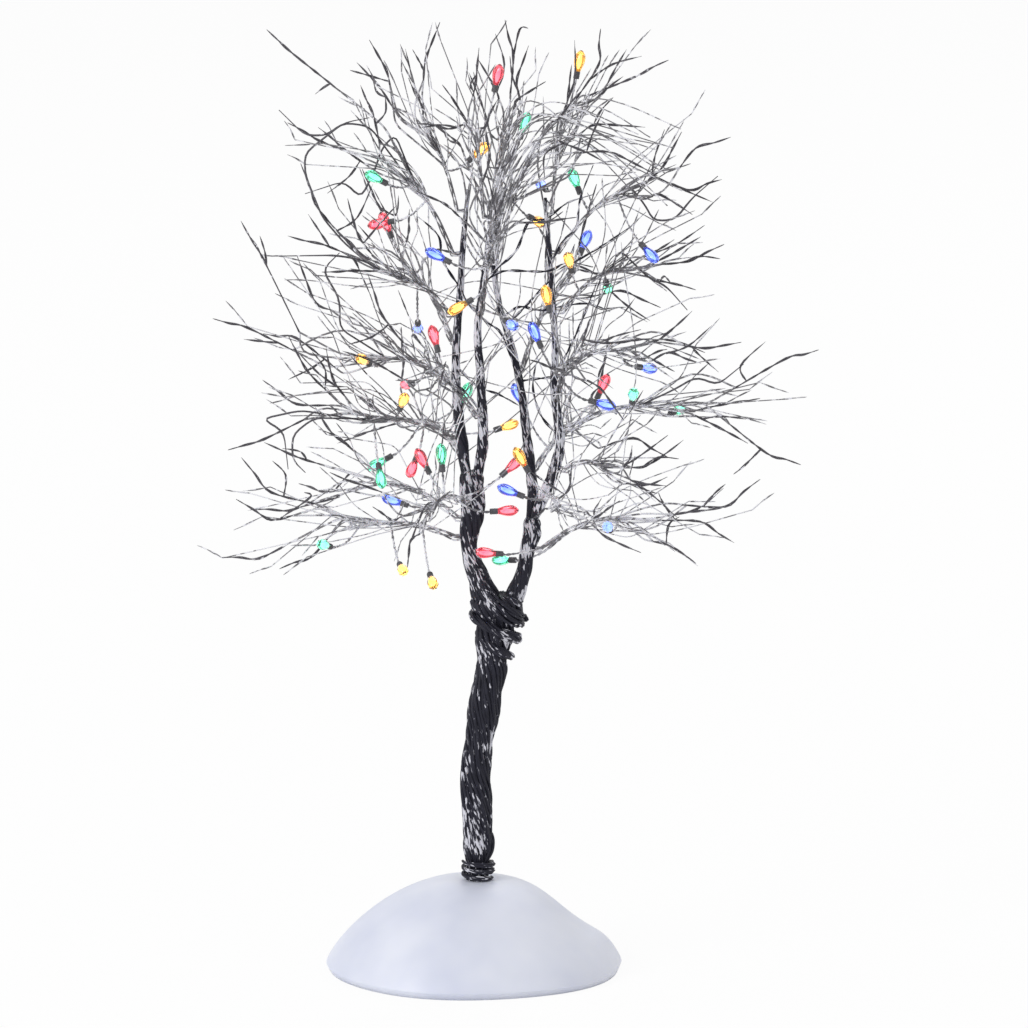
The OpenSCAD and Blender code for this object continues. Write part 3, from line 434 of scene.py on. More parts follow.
SNOW = snow()
BARK = frosted("bark", (0.006, 0.006, 0.011), (0.022, 0.022, 0.034), (0.62, 0.62, 0.68),
               start=0.64, stretch=(1.1, 0.36, 1), cluster=160.0, gloss=0.18, rise=0.09)
WIRE = frosted("wire", (0.09, 0.086, 0.098), (0.22, 0.215, 0.23), FROST,
               start=0.45, stretch=(0.6, 0.50, 1), cluster=120.0, gloss=0.35, rise=-0.11)
TIP = frosted("tip", (0.032, 0.029, 0.036), (0.11, 0.105, 0.12), FROST,
              start=0.66, stretch=(1.0, 0.5, 1), cluster=120.0, gloss=0.28, rise=-0.10)
SLEEVE = grained("sleeve", (0.04, 0.039, 0.044), (0.10, 0.098, 0.108), scale=900.0, roughness=0.45)
# Each colour of lamp: the lens's dark and light tints, and the light of its core
GLOW = {
    "red": ((0.45, 0.010, 0.03), (0.68, 0.05, 0.08), (1.0, 0.55, 0.55)),
    "green": ((0.015, 0.30, 0.15), (0.07, 0.54, 0.31), (0.62, 1.0, 0.78)),
    "blue": ((0.015, 0.03, 0.50), (0.07, 0.13, 0.80), (0.62, 0.72, 1.0)),
    "amber": ((0.62, 0.21, 0.010), (0.86, 0.42, 0.05), (1.0, 0.86, 0.52)),
}
LENS = {name: glowing("lens_" + name, *tints, strength=0.0, transmission=0.95)
        for name, tints in GLOW.items()}
CORE = {name: glowing("core_" + name, light, light, light, strength=4.0, transmission=0.0)
        for name, (_, _, light) in GLOW.items()}


# The snow mound: its surface, its foot and the rebate that the base plate sits in
MOUND_SIDES = 144
MOUND_RINGS = 48
DOME_POWERS = (1.7, 0.8)
FOOT_SHARE = 0.975
# Waves of the mound's rim: count, turn in degrees, share of the radius
RIM_WAVES = [(2, 0, 0.012), (3, 40, 0.01), (5, 0, -0.008)]


def bell(x, y, at, size):
    """A soft rise of 1 at a place, fading out over its size."""
    return np.exp(-(((x - at[0]) / size[0]) ** 2) - ((y - at[1]) / size[1]) ** 2)


def outline_r(a):
    waves = [share * np.cos(count * a + math.radians(turn)) for count, turn, share in RIM_WAVES]
    return MOUND_R * (1 + sum(waves))


def mound_row(s, a):
    """The ring of the mound's skin at a share of the way from its top to its rim."""
    r = outline_r(a) * mix(MOUND_FLAT, 1, s)
    x, y = r * np.cos(a) - MOUND_SHIFT, r * np.sin(a)
    z = RIM_H + (MOUND_H - RIM_H) * (1 - s ** DOME_POWERS[0]) ** DOME_POWERS[1]
    waves = DRIFT_RISE * bell(x, y, DRIFT_AT, DRIFT_SIZE) - DIP_DEPTH * bell(x, y, DIP_AT, DIP_SIZE)
    return np.stack([x, y, z + s * waves], axis=-1)


def make_mound():
    a = 2 * math.pi * np.arange(MOUND_SIDES) / MOUND_SIDES
    inner = np.stack([PLATE_R * np.cos(a), PLATE_R * np.sin(a), 0 * a], axis=-1)
    foot_r = outline_r(a) * FOOT_SHARE
    foot = np.stack([foot_r * np.cos(a) - MOUND_SHIFT, foot_r * np.sin(a), 0 * a], axis=-1)
    shares = np.sin(np.linspace(math.pi / 2, 0, MOUND_RINGS))
    rows = [inner + vec(0, 0, PLATE_TOP), inner, foot] + [mound_row(s, a) for s in shares]
    mound = Mesh("snow_shell")
    mound.rings(rows, 2 * math.pi * MOUND_R, np.arange(len(rows), dtype=float))
    mound.finish([SNOW], ["snow_mound"], "snow")


# Tree lines: [x, y, height above the mound, thickness as a share of the part's own diameter]
LINE_STEPS = 10
PEG_SHARE = PEG_D / TRUNK_D


def limb_line(points, diameter):
    line = capped(points, LINE_STEPS)
    line[:, 3] *= diameter / 2
    return line


TRUNK = limb_line([
    [0, 0, -SOCKET_DEPTH, PEG_SHARE], [0, 0, 0, PEG_SHARE], [0, 0, 4.5, 0.8], [0.2, 0, 8, 0.98],
    [0.1, 0, 14, 0.96], [-0.1, 0, 20, 1], [-0.2, 0, 27, 0.97], [0.6, 0, 34, 0.94], [1.4, 0, 40, 1.08],
    [2.2, 0, 45, 1.04], [3.3, 0, 50, 0.94], [3.5, 0, 52.5, 0.74], [3.6, 0, 55, 0.64],
    [4, 0, 58.5, 0.84], [4.5, 0, 62, 1.1], [4.7, 0, 65, 1.66], [4.7, 0, 66.5, 1.77]], TRUNK_D)
LEFT_LEADER = limb_line([
    [2, 0, 66.5, 1.6], [2, 0, 67.5, 1.6], [0.7, 0, 71.5, 1.3], [-0.5, 0, 74.5, 1.12],
    [-1.6, 0, 78.5, 0.95], [-1.9, 0, 82, 1.02], [-1, 0, 88, 1.35], [-1.3, 0, 93, 1.4],
    [-1.3, 0, 96, 1.4]], LEADER_D)
RIGHT_LEADER = limb_line([
    [8.5, 0, 66.5, 1.1], [8.5, 0, 67.5, 1.1], [9.8, 0, 70.5, 0.98], [11, 0, 74.5, 0.86],
    [11.8, 0, 79, 0.86], [12.8, 0.3, 83, 1.04], [12.8, 0.3, 85, 1.05]], LEADER_D)
STEM_LEFT = limb_line([
    [-2.7, 0.5, 96, 0.84], [-2.7, 0.5, 97.5, 0.84], [-3.5, 2.6, 104, 1.05], [-4.7, 4, 114, 0.96],
    [-4.9, 5, 126, 0.88], [-4, 6, 138, 0.78], [-3.3, 7, 150, 0.64], [-2.4, 8, 160, 0.46],
    [-2.2, 8.2, 163, 0.36]], STEM_D)
STEM_CENTRE = limb_line([
    [0.2, -0.5, 96, 0.84], [0.2, -0.5, 97.5, 0.84], [1.4, -2.6, 106, 1], [0.8, -4, 121, 0.92],
    [0.2, -4, 133, 0.82], [2.2, -4, 149, 0.64], [3.3, -4, 160, 0.46], [3.5, -4, 163, 0.36]], STEM_D)
STEM_INNER = limb_line([
    [12.3, 1.3, 85, 0.66], [12.3, 1.3, 86.5, 0.66], [13, 2.4, 92, 0.9], [12.4, 3.4, 98, 0.9],
    [11.6, 4, 105, 0.86], [10.4, 5, 115, 0.8], [8.4, 6, 125, 0.74], [5.4, 6.4, 135, 0.66],
    [3.6, 6.4, 146, 0.56], [3.2, 6.4, 155, 0.44], [3.2, 6.4, 158, 0.36]], STEM_D)
STEM_RIGHT = limb_line([
    [13.3, -0.75, 85, 0.66], [13.3, -0.75, 86.5, 0.66], [15, -2.6, 91, 0.95], [18, -4, 99, 0.95],
    [19.3, -5, 106, 0.92], [18, -5, 118, 0.84], [18.2, -4, 128, 0.76], [17.7, -3, 137, 0.68],
    [16.7, -2, 152, 0.54], [16, -2, 160, 0.42], [15.9, -2, 163, 0.34]], STEM_D)
ON_MOUND = vec(0, 0, MOUND_H)

# Ropes of twisted wires: strands and pitch
TRUNK_ROPE = (24, -66.0)
LEFT_ROPE = (14, -44.0)
RIGHT_ROPE = (12, -40.0)
STEM_ROPE = (9, -28.0)
LAID_ROPE = (5, -40.0)
BAND_ROPE = (5, 22.0)
WINDING_ROPE = (7, 16.0)
BOUGH_ROPE = (5, -26.0)
TIP_ROPE = (2, 9.0)
STALK_ROPE = (2, 3.0)
ROPE_WOBBLE = 0.05
CORE_SHARE = 0.88
CORE_SIDES = 24
# Slimming of the stems with height: heights, shares of the CAD's thickness
SLIM_HEIGHTS = (98, 122)
SLIM_SHARES = (0.94, 0.74)
NECK_FILL = 1.7
NECK_AT = 57.0
NECK_REACH = 5.5
STRAND_SIDES = 6
STRAND_SINK = 0.35
STRAND_STEPS = 24
STRAND_TAPER = 0.25
# Thick strands that lie on the trunk: lowest and highest point, angles there, radius
SIDE_STRAND = ((3.0, 34.0), (232, 196), 1.2)
FOOT_KNOT = ((4.2, 11.0), (-50, 15), 1.0)
# Strands that run from the winding's right end over the front of the fork to the left leader
FORK_BAND = [(10.3, -0.6, 62.6), (9.4, -4.0, 63.4), (6.6, -6.5, 65.2), (3.4, -6.2, 68.0),
             (0.6, -3.6, 71.6), (-1.0, -1.8, 75.5)]
BAND_R = [0.9, 1.0, 0.95, 0.85, 0.7, 0.4]
BAND_GAP = 1.3
BAND_STEPS = 8
BAND_TURN = 2.0
# Rounding of a limb's top where others stand on it: height above the end, share of the radius
CROTCH = [(0.7, 0.92), (1.3, 0.75), (1.7, 0.5), (1.9, 0.2)]


def rounded(line):
    """A limb's line with its upper end rounded over."""
    x, y, z, radius = line[-1]
    return np.vstack([line] + [[x, y, z + rise, radius * share] for rise, share in CROTCH])


def twisted(name, line, rope):
    """A rope of many fine bark-coated wires twisted round a hidden core."""
    limb = Mesh("twisted_" + name)
    path = line[:, :3] + ON_MOUND
    limb.tube(path, line[:, 3] * CORE_SHARE, CORE_SIDES)
    limb.bundle(path, line[:, 3], *rope, STRAND_SIDES, wobble=ROPE_WOBBLE)
    return limb


def slimmed(line):
    """A stem's line, slimmer in the upper crown."""
    line = line.copy()
    line[:, 3] *= np.interp(line[:, 2], SLIM_HEIGHTS, SLIM_SHARES)
    return line


def filled_neck(line):
    """The trunk's line with its wound neck filled out between the turns of the winding."""
    line = line.copy()
    line[:, 3] += NECK_FILL * np.exp(-(((line[:, 2] - NECK_AT) / NECK_REACH) ** 2))
    return line


def lay_strand(trunk, span, turn, radius):
    """A strand of a few wires, sunk a little into the trunk's side and thinner toward its ends."""
    beside = np.array([at_height(TRUNK, z) for z in np.linspace(*span, STRAND_STEPS)])
    angle = np.radians(np.linspace(*turn, STRAND_STEPS))
    reach = beside[:, 3] - radius * STRAND_SINK
    line = beside[:, :3] + np.stack([reach * np.cos(angle), reach * np.sin(angle), 0 * angle], axis=-1)
    thickness = radius * np.sqrt(np.sin(np.linspace(STRAND_TAPER, math.pi - STRAND_TAPER, STRAND_STEPS)))
    trunk.bundle(line + ON_MOUND, thickness, *LAID_ROPE, STRAND_SIDES)


def make_trunk():
    """The trunk's rope, a thick strand along the left of its lower half and a knot by its foot."""
    trunk = twisted("trunk", rounded(filled_neck(TRUNK)), TRUNK_ROPE)
    lay_strand(trunk, *SIDE_STRAND)
    lay_strand(trunk, *FOOT_KNOT)
    trunk.finish([BARK], ["trunk"], "bark")


# Windings round the trunk
WINDING_STEPS = 48
WINDING_SHARE = 1.15
WINDING_SWELL = 0.15
WINDING_END = 0.4
WINDING_CORE = 0.8
WINDING_WOBBLE = 0.08
TUCK_SHARE = 0.08
FOOT_TUCK = 0.3
FORK_TUCK = 1.2


def wound(name, low, rise, loops, wire_d, tuck, tilt=0, slack=0):
    """A coil of twisted wire that climbs the trunk, slack toward the right and tucked in on the left."""
    f = np.linspace(0, 1, int(loops * WINDING_STEPS) + 1)
    angle = 2 * math.pi * loops * f
    right = (1 + np.cos(angle)) / 2
    height = low + rise * f - tilt * np.cos(angle)
    trunk = np.array([at_height(TRUNK, z) for z in height])
    above = np.array([at_height(TRUNK, z + wire_d / 2)[3] for z in height])
    reach = np.maximum(trunk[:, 3], above) + wire_d / 2 + CLEAR + FIT + slack * right - tuck * (1 - right)
    out = np.stack([reach * np.cos(angle), -reach * np.sin(angle)], axis=-1)
    line = np.column_stack([trunk[:, :2] + out, height]) + ON_MOUND
    thickness = wire_d / 2 * WINDING_SHARE * (1 + WINDING_SWELL * np.cos(angle))
    thickness *= mix(WINDING_END, 1, np.sqrt(np.clip(np.minimum(f, 1 - f) / TUCK_SHARE, 0, 1)))
    coil = Mesh("coiled_" + name)
    coil.tube(line, WINDING_CORE * thickness, STRAND_SIDES)
    coil.bundle(line, thickness, *WINDING_ROPE, STRAND_SIDES, wobble=WINDING_WOBBLE)
    return coil


def add_band(coil):
    """Strands side by side from the winding over the front of the fork to the left leader."""
    for k in (-1, 0, 1):
        line = through([vec(*p) + vec(0, 0, k * BAND_GAP) for p in FORK_BAND], BAND_STEPS) + ON_MOUND
        radius = tapered(len(line), np.linspace(0, 1, len(BAND_R)), BAND_R)
        coil.bundle(line, radius, *BAND_ROPE, STRAND_SIDES, wobble=ROPE_WOBBLE, phase=BAND_TURN * k)


def make_windings():
    foot = wound("foot_winding", FOOT_WIRE_D / 2, FOOT_RISE, FOOT_LOOPS, FOOT_WIRE_D, FOOT_TUCK)
    foot.finish([BARK], ["foot_winding"], "bark")
    fork = wound("fork_winding", FORK_LOW, FORK_RISE, FORK_LOOPS, FORK_WIRE_D, FORK_TUCK,
                 FORK_TILT, FORK_SLACK)
    add_band(fork)
    fork.finish([BARK], ["fork_winding"], "bark")


# Boughs: name, limb, height of the root, hand where the twigs spread, chosen tips, further twigs, draw
BOUGHS = [
    ("bough_left_low", LEFT_LEADER, 82, [-30, -6, 85],
        [[-59.5, -4, 78], [-56, -14, 94], [-55, 0, 101], [-46, -12, 77]], 10, 1),
    ("bough_left_rear_low", LEFT_LEADER, 86, [-24, 14, 92],
        [[-50, 22, 100], [-42, 32, 88], [-53, 12, 86], [-38, 24, 108]], 7, 2),
    ("bough_left_mid", STEM_LEFT, 105, [-26, -3, 110],
        [[-58, -6, 104], [-50, 2, 119], [-44, -4, 131], [-35, -10, 129]], 10, 3),
    ("bough_left_upper", STEM_LEFT, 118, [-22, 5, 123],
        [[-61.5, 0, 134], [-50, 12, 128], [-55, 6, 156], [-42, 10, 147]], 9, 44),
    ("bough_left_high", STEM_LEFT, 134, [-18, 0, 143],
        [[-36, -10, 147], [-44, -2, 154], [-41, 4, 170], [-30, -8, 164]], 9, 5),
    ("bough_upper_left", STEM_LEFT, 148, [-16, 4, 166],
        [[-48.8, 2, 202], [-44, 2, 180], [-37, 12, 177], [-27, -4, 190]], 9, 6),
    ("bough_top_left", STEM_LEFT, 158, [-11, 9, 176],
        [[-25, 5, 199], [-28, 14, 192], [-8.6, 6, 203], [-16, 16, 188]], 9, 7),
    ("bough_top_centre", STEM_CENTRE, 159, [0, -6, 177],
        [[0.5, -5, 199], [5, -10, 188], [-8, -9, 191], [-14, -10, 182]], 9, 8),
    ("bough_top_rear", STEM_INNER, 153, [6, 11, 176],
        [[6.5, 9, 203], [12, 14, 196], [0, 20, 192], [16, 22, 186]], 8, 29),
    ("bough_top_right", STEM_RIGHT, 159, [19, 1, 176],
        [[28.7, 3, 202], [22, 6, 193], [44.5, 1, 195], [34, 7, 190]], 10, 10),
    ("bough_arch_right", STEM_CENTRE, 148, [14, -9, 178],
        [[39, -9, 181], [42, -12, 170], [30, -17, 174], [24, -12, 190]], 10, 11),
    ("bough_right_high", STEM_RIGHT, 150, [34, 0, 164],
        [[59, 0, 177], [57, 5, 166], [47.5, -4, 179], [50, -7, 160]], 9, 12),
    ("bough_right_upper", STEM_RIGHT, 136, [34, 4, 145],
        [[57.5, 3, 151], [51, 9, 139], [52, -3, 154], [46, 14, 150]], 8, 13),
    ("bough_right_mid", STEM_RIGHT, 122, [34, -6, 127],
        [[50, -6, 137], [46, 2, 121], [61.5, -3, 129], [52, -13, 126]], 8, 14),
    ("bough_right_out", STEM_RIGHT, 109, [44, -3, 113],
        [[79.5, -2, 127], [66, 5, 114], [75.5, 1, 99], [63, -8, 106]], 9, 15),
    ("bough_right_low", RIGHT_LEADER, 79, [35, -3, 87],
        [[66, -1, 96], [60, 3, 80], [57, -10, 91], [51, -6, 77]], 10, 16),
    ("bough_right_inner", STEM_RIGHT, 99, [31, -10, 99],
        [[48, -9, 107], [44, -18, 98], [42, -3, 93], [36, -20, 108]], 8, 37),
    ("bough_front_left", LEFT_LEADER, 91, [-12, -25, 93],
        [[-24, -46, 99], [-6, -52, 104], [-34, -36, 105], [-16, -48, 85]], 8, 18),
    ("bough_front_right", STEM_RIGHT, 92, [19, -26, 93],
        [[33, -44, 100], [13, -54, 98], [38, -36, 86], [22, -48, 110]], 8, 19),
    ("bough_front_mid_left", STEM_CENTRE, 112, [-12, -24, 126],
        [[-31, -38, 134], [-15, -50, 140], [-25, -34, 151], [-4, -50, 126]], 8, 20),
    ("bough_front_mid_right", STEM_RIGHT, 116, [22, -27, 130],
        [[40, -38, 137], [26, -50, 144], [12, -48, 134], [34, -40, 118]], 8, 21),
    ("bough_front_high", STEM_CENTRE, 136, [4, -22, 157],
        [[-14, -35, 171], [7, -42, 173], [23, -36, 165], [2, -29, 185]], 8, 22),
    ("bough_rear_left", STEM_LEFT, 101, [-14, 28, 104],
        [[-30, 44, 108], [-8, 55, 110], [-33, 40, 96], [-18, 50, 122]], 7, 23),
    ("bough_rear_right", STEM_INNER, 97, [24, 28, 102],
        [[42, 42, 107], [20, 55, 108], [45, 33, 94], [31, 46, 121]], 7, 24),
    ("bough_rear_mid_left", STEM_LEFT, 127, [-15, 28, 139],
        [[-33, 40, 147], [-16, 51, 150], [-27, 34, 163], [-4, 49, 140]], 7, 25),
    ("bough_rear_mid_right", STEM_INNER, 120, [19, 30, 135],
        [[36, 42, 141], [14, 53, 146], [43, 33, 130], [28, 41, 158]], 7, 26),
    ("bough_rear_high", STEM_INNER, 142, [6, 26, 164],
        [[-12, 37, 174], [9, 42, 178], [23, 33, 170], [-2, 34, 186]], 7, 27),
]


# Offsets of a bough's draw for each thing that is drawn for its further twigs
DRAWS = {"partner": 3, "between": 7, "x": 11, "y": 13, "z": 17, "out": 19}


class Bough:
    """The routes of one bough's bundle and twigs, the same as its CAD node's."""

    def __init__(self, name, limb, root, hand, tips, further, draw):
        self.name = name
        self.hand = vec(*hand)
        self.tips = [vec(*t) for t in tips]
        self.further = further
        self.draw = draw
        axis = at_height(limb, root)
        rise = at_height(limb, root + 1)[:3] - axis[:3]
        self.out = unit((self.hand - axis[:3]) * vec(1, 1, 0))
        self.root_r = min(BOUGH_D / 2, ROOT_SHARE * axis[3])
        self.root = axis[:3] + self.out * (axis[3] + FIT + abs(rise @ self.out) * self.root_r)
        self.start = self.root + self.out * BOUGH_NECK

    def arch(self, f):
        """The point at a share of the way along the bundle's arch."""
        middle = mix(self.start, self.hand, 0.5) + vec(0, 0, BOUGH_LIFT)
        return curve(self.start, middle, self.hand, f)

    def arc(self, i):
        return self.arch(i / BOUGH_ARCS)

    def point(self, f):
        """The point at a share of the way along the bundle's straight stretches, as in the CAD."""
        i = min(math.floor(f * BOUGH_ARCS), BOUGH_ARCS - 1)
        return mix(self.arc(i), self.arc(i + 1), f * BOUGH_ARCS - i)

    def aim(self, f):
        i = math.floor(f * BOUGH_ARCS)
        return unit(self.arc(i + 1) - self.arc(i))

    def twig(self, f, tip, i, tip_share):
        """Where a twig leaves the bundle, its points, and whether it is one of the chosen outer ones."""
        start, aim = self.point(f), self.aim(f)
        reach = np.linalg.norm(tip - start)
        bend = start + unit(aim + unit(tip - start)) * reach * TWIG_BEND
        kink = first_side(aim) * (chance(i, self.draw) - 0.5) * reach * TWIG_KINK
        twist_f = 1 - TIP_L * tip_share / reach
        middle = curve(start, bend, tip, mix(twist_f, 1, TIP_RING)) + kink * TIP_KINK
        ring = curve(start, bend, tip, TWIG_RING)
        twist = curve(start, bend, tip, twist_f) + kink
        return f, [start, ring, twist, middle, tip], tip_share == 1

    def drawn(self, i, what):
        return chance(i, self.draw + DRAWS[what])

    def twigs(self):
        """The chosen outer twigs, then the further ones."""
        n = len(self.tips)
        for i, tip in enumerate(self.tips):
            yield self.twig(mix(*CHOSEN_REACH, (i + 0.5) / n), tip, i, 1)
        for i in range(self.further):
            partner = i + 1 + math.floor(2 * self.drawn(i, "partner"))
            share = mix(*BETWEEN_SPAN, self.drawn(i, "between"))
            between = mix(self.tips[i % n], self.tips[partner % n], share)
            scatter = vec(*[self.drawn(i, axis) - 0.5 for axis in "xyz"]) * TWIG_SCATTER
            out = FURTHER_OUT[0] + FURTHER_OUT[1] * self.drawn(i, "out")
            leave = mix(*FURTHER_REACH, (i + 0.5) / self.further)
            tip = mix(self.hand, between, out) + scatter
            yield self.twig(leave, tip, i + FURTHER_DRAW, FURTHER_SHARE)


# Wires of the crown, drawn with a fixed seed
SEED = 11
dice = np.random.default_rng(SEED)
# Place of a mesh's second material
SECOND = 1
# Sides, steps and radii of the wires, where their twisted ends start, and the ellipsoid of the crown
WIRE_SIDES = 5
WIRE_STEPS = 8
WIRE_R = 0.23
FINE_R = 0.14
TWIST_AT = 0.7
CROWN_AT = vec(8, 0, 139)
CROWN_SIZE = vec(70, 54, 63)
# Bows and bends of a wire
BOW_SHARE = (0.06, 0.26)
BOW_STEPS = 5
BENT_CHANCE = 0.4
# Pointed tips: places along them and shares of their thickness there
TIP_STEPS = 5
TIP_PLACES = [0, 0.35, 0.7, 1]
TIP_SHARES = [0.55, 0.82, 0.66, 0.15]
OUTER_TIP_R = 0.46
SIDE_TIP_R = 0.40
FINE_TIP_R = 0.28
# Outer twigs, where two wires join, and their side twigs
JOIN_SPAN = (0.1, 0.7)
JOIN_BELOW = (0.05, 0.45)
JOIN_BOW_AT = 0.6
SIDE_CHANCE = 0.7
SIDE_ROOTS = (0.2, 1)
SIDE_REACH = (8.0, 16.0)
SIDE_LEAN = (0.6, 1.6)
SIDE_ELBOW = 0.45
SIDE_STRAY = 0.8
# Wires whose elbows stand out, by bough: share of the bundle where each leaves, corners and end
ELBOWED_R = 0.27
ELBOWED_PLACES = [0, 0.8, 1]
ELBOWED_SHARES = [0.8, 1, 0.4]
ELBOWED = {
    "bough_left_high": [
        (0.6, [(-24, 0, 146), (-31, 0, 152), (-36, 0, 158), (-40, 1, 168), (-40, 1, 173), (-31, 2, 180),
               (-25, 3, 181)]),
        (0.9, [(-27, 0, 148), (-33, 0, 149), (-48, 4, 148)]),
    ],
    "bough_upper_left": [
        (0.9, [(-25, 3, 179), (-31, 2, 180), (-35, 2, 177), (-40, 2, 177), (-46, 2, 183)]),
        (0.8, [(-19, 3, 177), (-22, 3, 174), (-24, 3, 168), (-27, 3, 162), (-31, 3, 166), (-40, 3, 163)]),
    ],
    "bough_left_upper": [(0.9, [(-32, 3, 131), (-32, 3, 138), (-36, 3, 145), (-32, 3, 149)])],
    "bough_left_mid": [
        (0.8, [(-38, -3, 111), (-43, -3, 107), (-43, -3, 101), (-40, -3, 98)]),
        (0.95, [(-41, -4, 113), (-50, -4, 111), (-45, -4, 108), (-44, -4, 99)]),
    ],
    "bough_right_high": [
        (0.8, [(35, 0, 166), (39, 0, 161), (41, 1, 157), (46, 2, 157), (50, 3, 162), (56, 4, 167)]),
    ],
    "bough_right_upper": [(0.8, [(33, 3, 150), (40, 3, 143), (44, 4, 141), (49, 5, 135)])],
    "bough_right_out": [(0.7, [(46, -4, 118), (51, -4, 121), (56, -4, 119), (62, -4, 124)])],
}
# Twisted pairs that leave a stem and cross the crown's middle: height of the root, bends and end
BRACE_R = 0.4
BRACE_PLACES = [0, 0.7, 1]
BRACE_SHARES = [1, 0.8, 0.3]
BRACES = {
    "stem_left": [
        (122, [(0, 0, 118), (5, 0, 116), (10, 1, 113)]),
        (140, [(-8, 4, 147), (-9, 3, 153), (-14, 2, 158)]),
    ],
    "stem_centre": [
        (143, [(6, -4, 146), (16, -4, 146), (21, -4, 148), (27, -4, 147)]),
        (112, [(-3, -6, 118), (-8, -7, 122), (-10, -7, 130)]),
    ],
    "stem_inner": [
        (117, [(6, 4, 129), (2, 2, 133), (-3, 0, 139), (-4, -1, 146)]),
        (144, [(9, 5, 149), (12, 4, 156), (16, 3, 157), (21, 2, 161), (27, 2, 163)]),
        (118, [(13, 3, 119), (17, 0, 120), (22, -2, 121), (27, -3, 118)]),
        (133, [(10, 4, 136), (15, 0, 136), (25, -2, 138), (31, -2, 136)]),
        (131, [(10, 3, 135), (19, -1, 145), (29, -4, 152), (36, -5, 157)]),
    ],
    "stem_right": [
        (121, [(22, -5, 129), (25, -5, 136), (28, -5, 144)]),
        (147, [(20, -3, 153), (23, -3, 156), (24, -3, 163), (27, -3, 171)]),
        (107, [(15, -6, 112), (13, -7, 119), (14, -7, 126)]),
    ],
}
# Boughs that leave below this height also have crossing wires and risers
EXTRA_BELOW = 140
RISERS = 2
RISER_ROOTS = (0.45, 0.95)
RISER_LEAN = 0.6
RISER_STRAY = 0.4
RISER_BOW = 0.4
RISER_BOW_AT = 0.4
RISER_REACH = (14.0, 30.0)
DARK_CHANCE = 0.5
CROSSING_WIRES = 2
CROSSING_ROOTS = (0.1, 0.7)
CROSSING_REACH = (25.0, 55.0)
CROSSING_BOW = 0.2
CROSSING_MIDDLE = (0.4, 0.6)
CROSSING_TWIST = 0.2
HEART_AT = vec(18, 0, 140)
HEART_SIZE = vec(26, 26, 44)
HEART_SPAN = (0.3, 1)
# The arch of wires at the upper right
ARCH_BOUGH = "bough_arch_right"
ARCH_WIRES = 14
ARCH_ROOTS = (136.0, 158.0)
ARCH_PEAK = vec(20, -8, 183)
ARCH_SPREAD = vec(6, 6, 5)
ARCH_END = vec(42, -10, 172)
ARCH_FAN = vec(6, 6, 10)
ARCH_BULGE = vec(-3, 0, 6)
# Sprays on the stems' tops
SPRAY_WIRES = 2
SPRAY_LEAN = 1.2
SPRAY_REACH = (16.0, 30.0)
SPRAY_SINK = vec(0, 0, 4)


def anywhere():
    """A direction drawn evenly from all directions."""
    return unit(dice.normal(size=3))


def in_crown(place):
    """The place itself, or where the way to it from the crown's middle leaves the crown."""
    away = (place - CROWN_AT) / CROWN_SIZE
    return CROWN_AT + CROWN_SIZE * away / max(1, np.linalg.norm(away))


def bow_of(start, end):
    """A push to the side for the middle of a wire, longer on a longer wire."""
    aside = unit(np.cross(end - start, anywhere()))
    return aside * np.linalg.norm(end - start) * dice.uniform(*BOW_SHARE)


def bowed(points):
    """A wire's line through three points, in a smooth bow or in a tight bend."""
    shape = bent if dice.random() < BENT_CHANCE else through
    return shape(points, BOW_STEPS) + ON_MOUND


def add_tip(mesh, points, radius, kind=0):
    """A pointed spindle of two wires twisted together."""
    line = through(points, TIP_STEPS) + ON_MOUND
    swell = radius * tapered(len(line), TIP_PLACES, TIP_SHARES)
    mesh.bundle(line, swell, *TIP_ROPE, WIRE_SIDES, kind, phase=dice.uniform(0, math.pi))


def add_side_twig(mesh, start, ahead):
    """A short dark twig that leaves a longer one and turns in an elbow."""
    reach = dice.uniform(*SIDE_REACH)
    lean = unit(ahead + dice.uniform(*SIDE_LEAN) * anywhere())
    elbow = in_crown(start + lean * reach * SIDE_ELBOW)
    end = in_crown(elbow + unit(ahead + lean + SIDE_STRAY * anywhere()) * reach * (1 - SIDE_ELBOW))
    add_tip(mesh, [start, elbow, end], SIDE_TIP_R, SECOND)


def add_outer_twig(mesh, bough, leave, points):
    """Two wires that meet and run on as one dark tapered twist, with now and then a side twig."""
    start, ring, twist = points[:3]
    ring = in_crown(ring + bow_of(start, twist))
    join = mix(ring, twist, dice.uniform(*JOIN_SPAN))
    lower = bough.point(leave - dice.uniform(*JOIN_BELOW))
    beside = in_crown(mix(lower, join, JOIN_BOW_AT) + bow_of(lower, join))
    for wire in ([start, ring, join], [lower, beside, join]):
        mesh.tube(bowed(wire), WIRE_R, WIRE_SIDES)
    add_tip(mesh, [join, *points[2:]], OUTER_TIP_R, SECOND)
    if dice.random() < SIDE_CHANCE:
        add_side_twig(mesh, mix(join, twist, dice.uniform(*SIDE_ROOTS)), unit(twist - join))


def add_fine_twig(mesh, points):
    """One frosted wire with a slight twist at its end."""
    start, ring, twist = points[:3]
    ring = in_crown(ring + bow_of(start, twist))
    mesh.tube(bowed([start, ring, twist]), FINE_R, WIRE_SIDES)
    add_tip(mesh, points[2:], FINE_TIP_R)


def add_elbowed(mesh, bough, leave, points):
    """A dark wire that leaves a bough's bundle and turns in elbows."""
    line = bent([bough.point(leave), *[vec(*p) for p in points]]) + ON_MOUND
    mesh.tube(line, ELBOWED_R * tapered(len(line), ELBOWED_PLACES, ELBOWED_SHARES), WIRE_SIDES, SECOND)


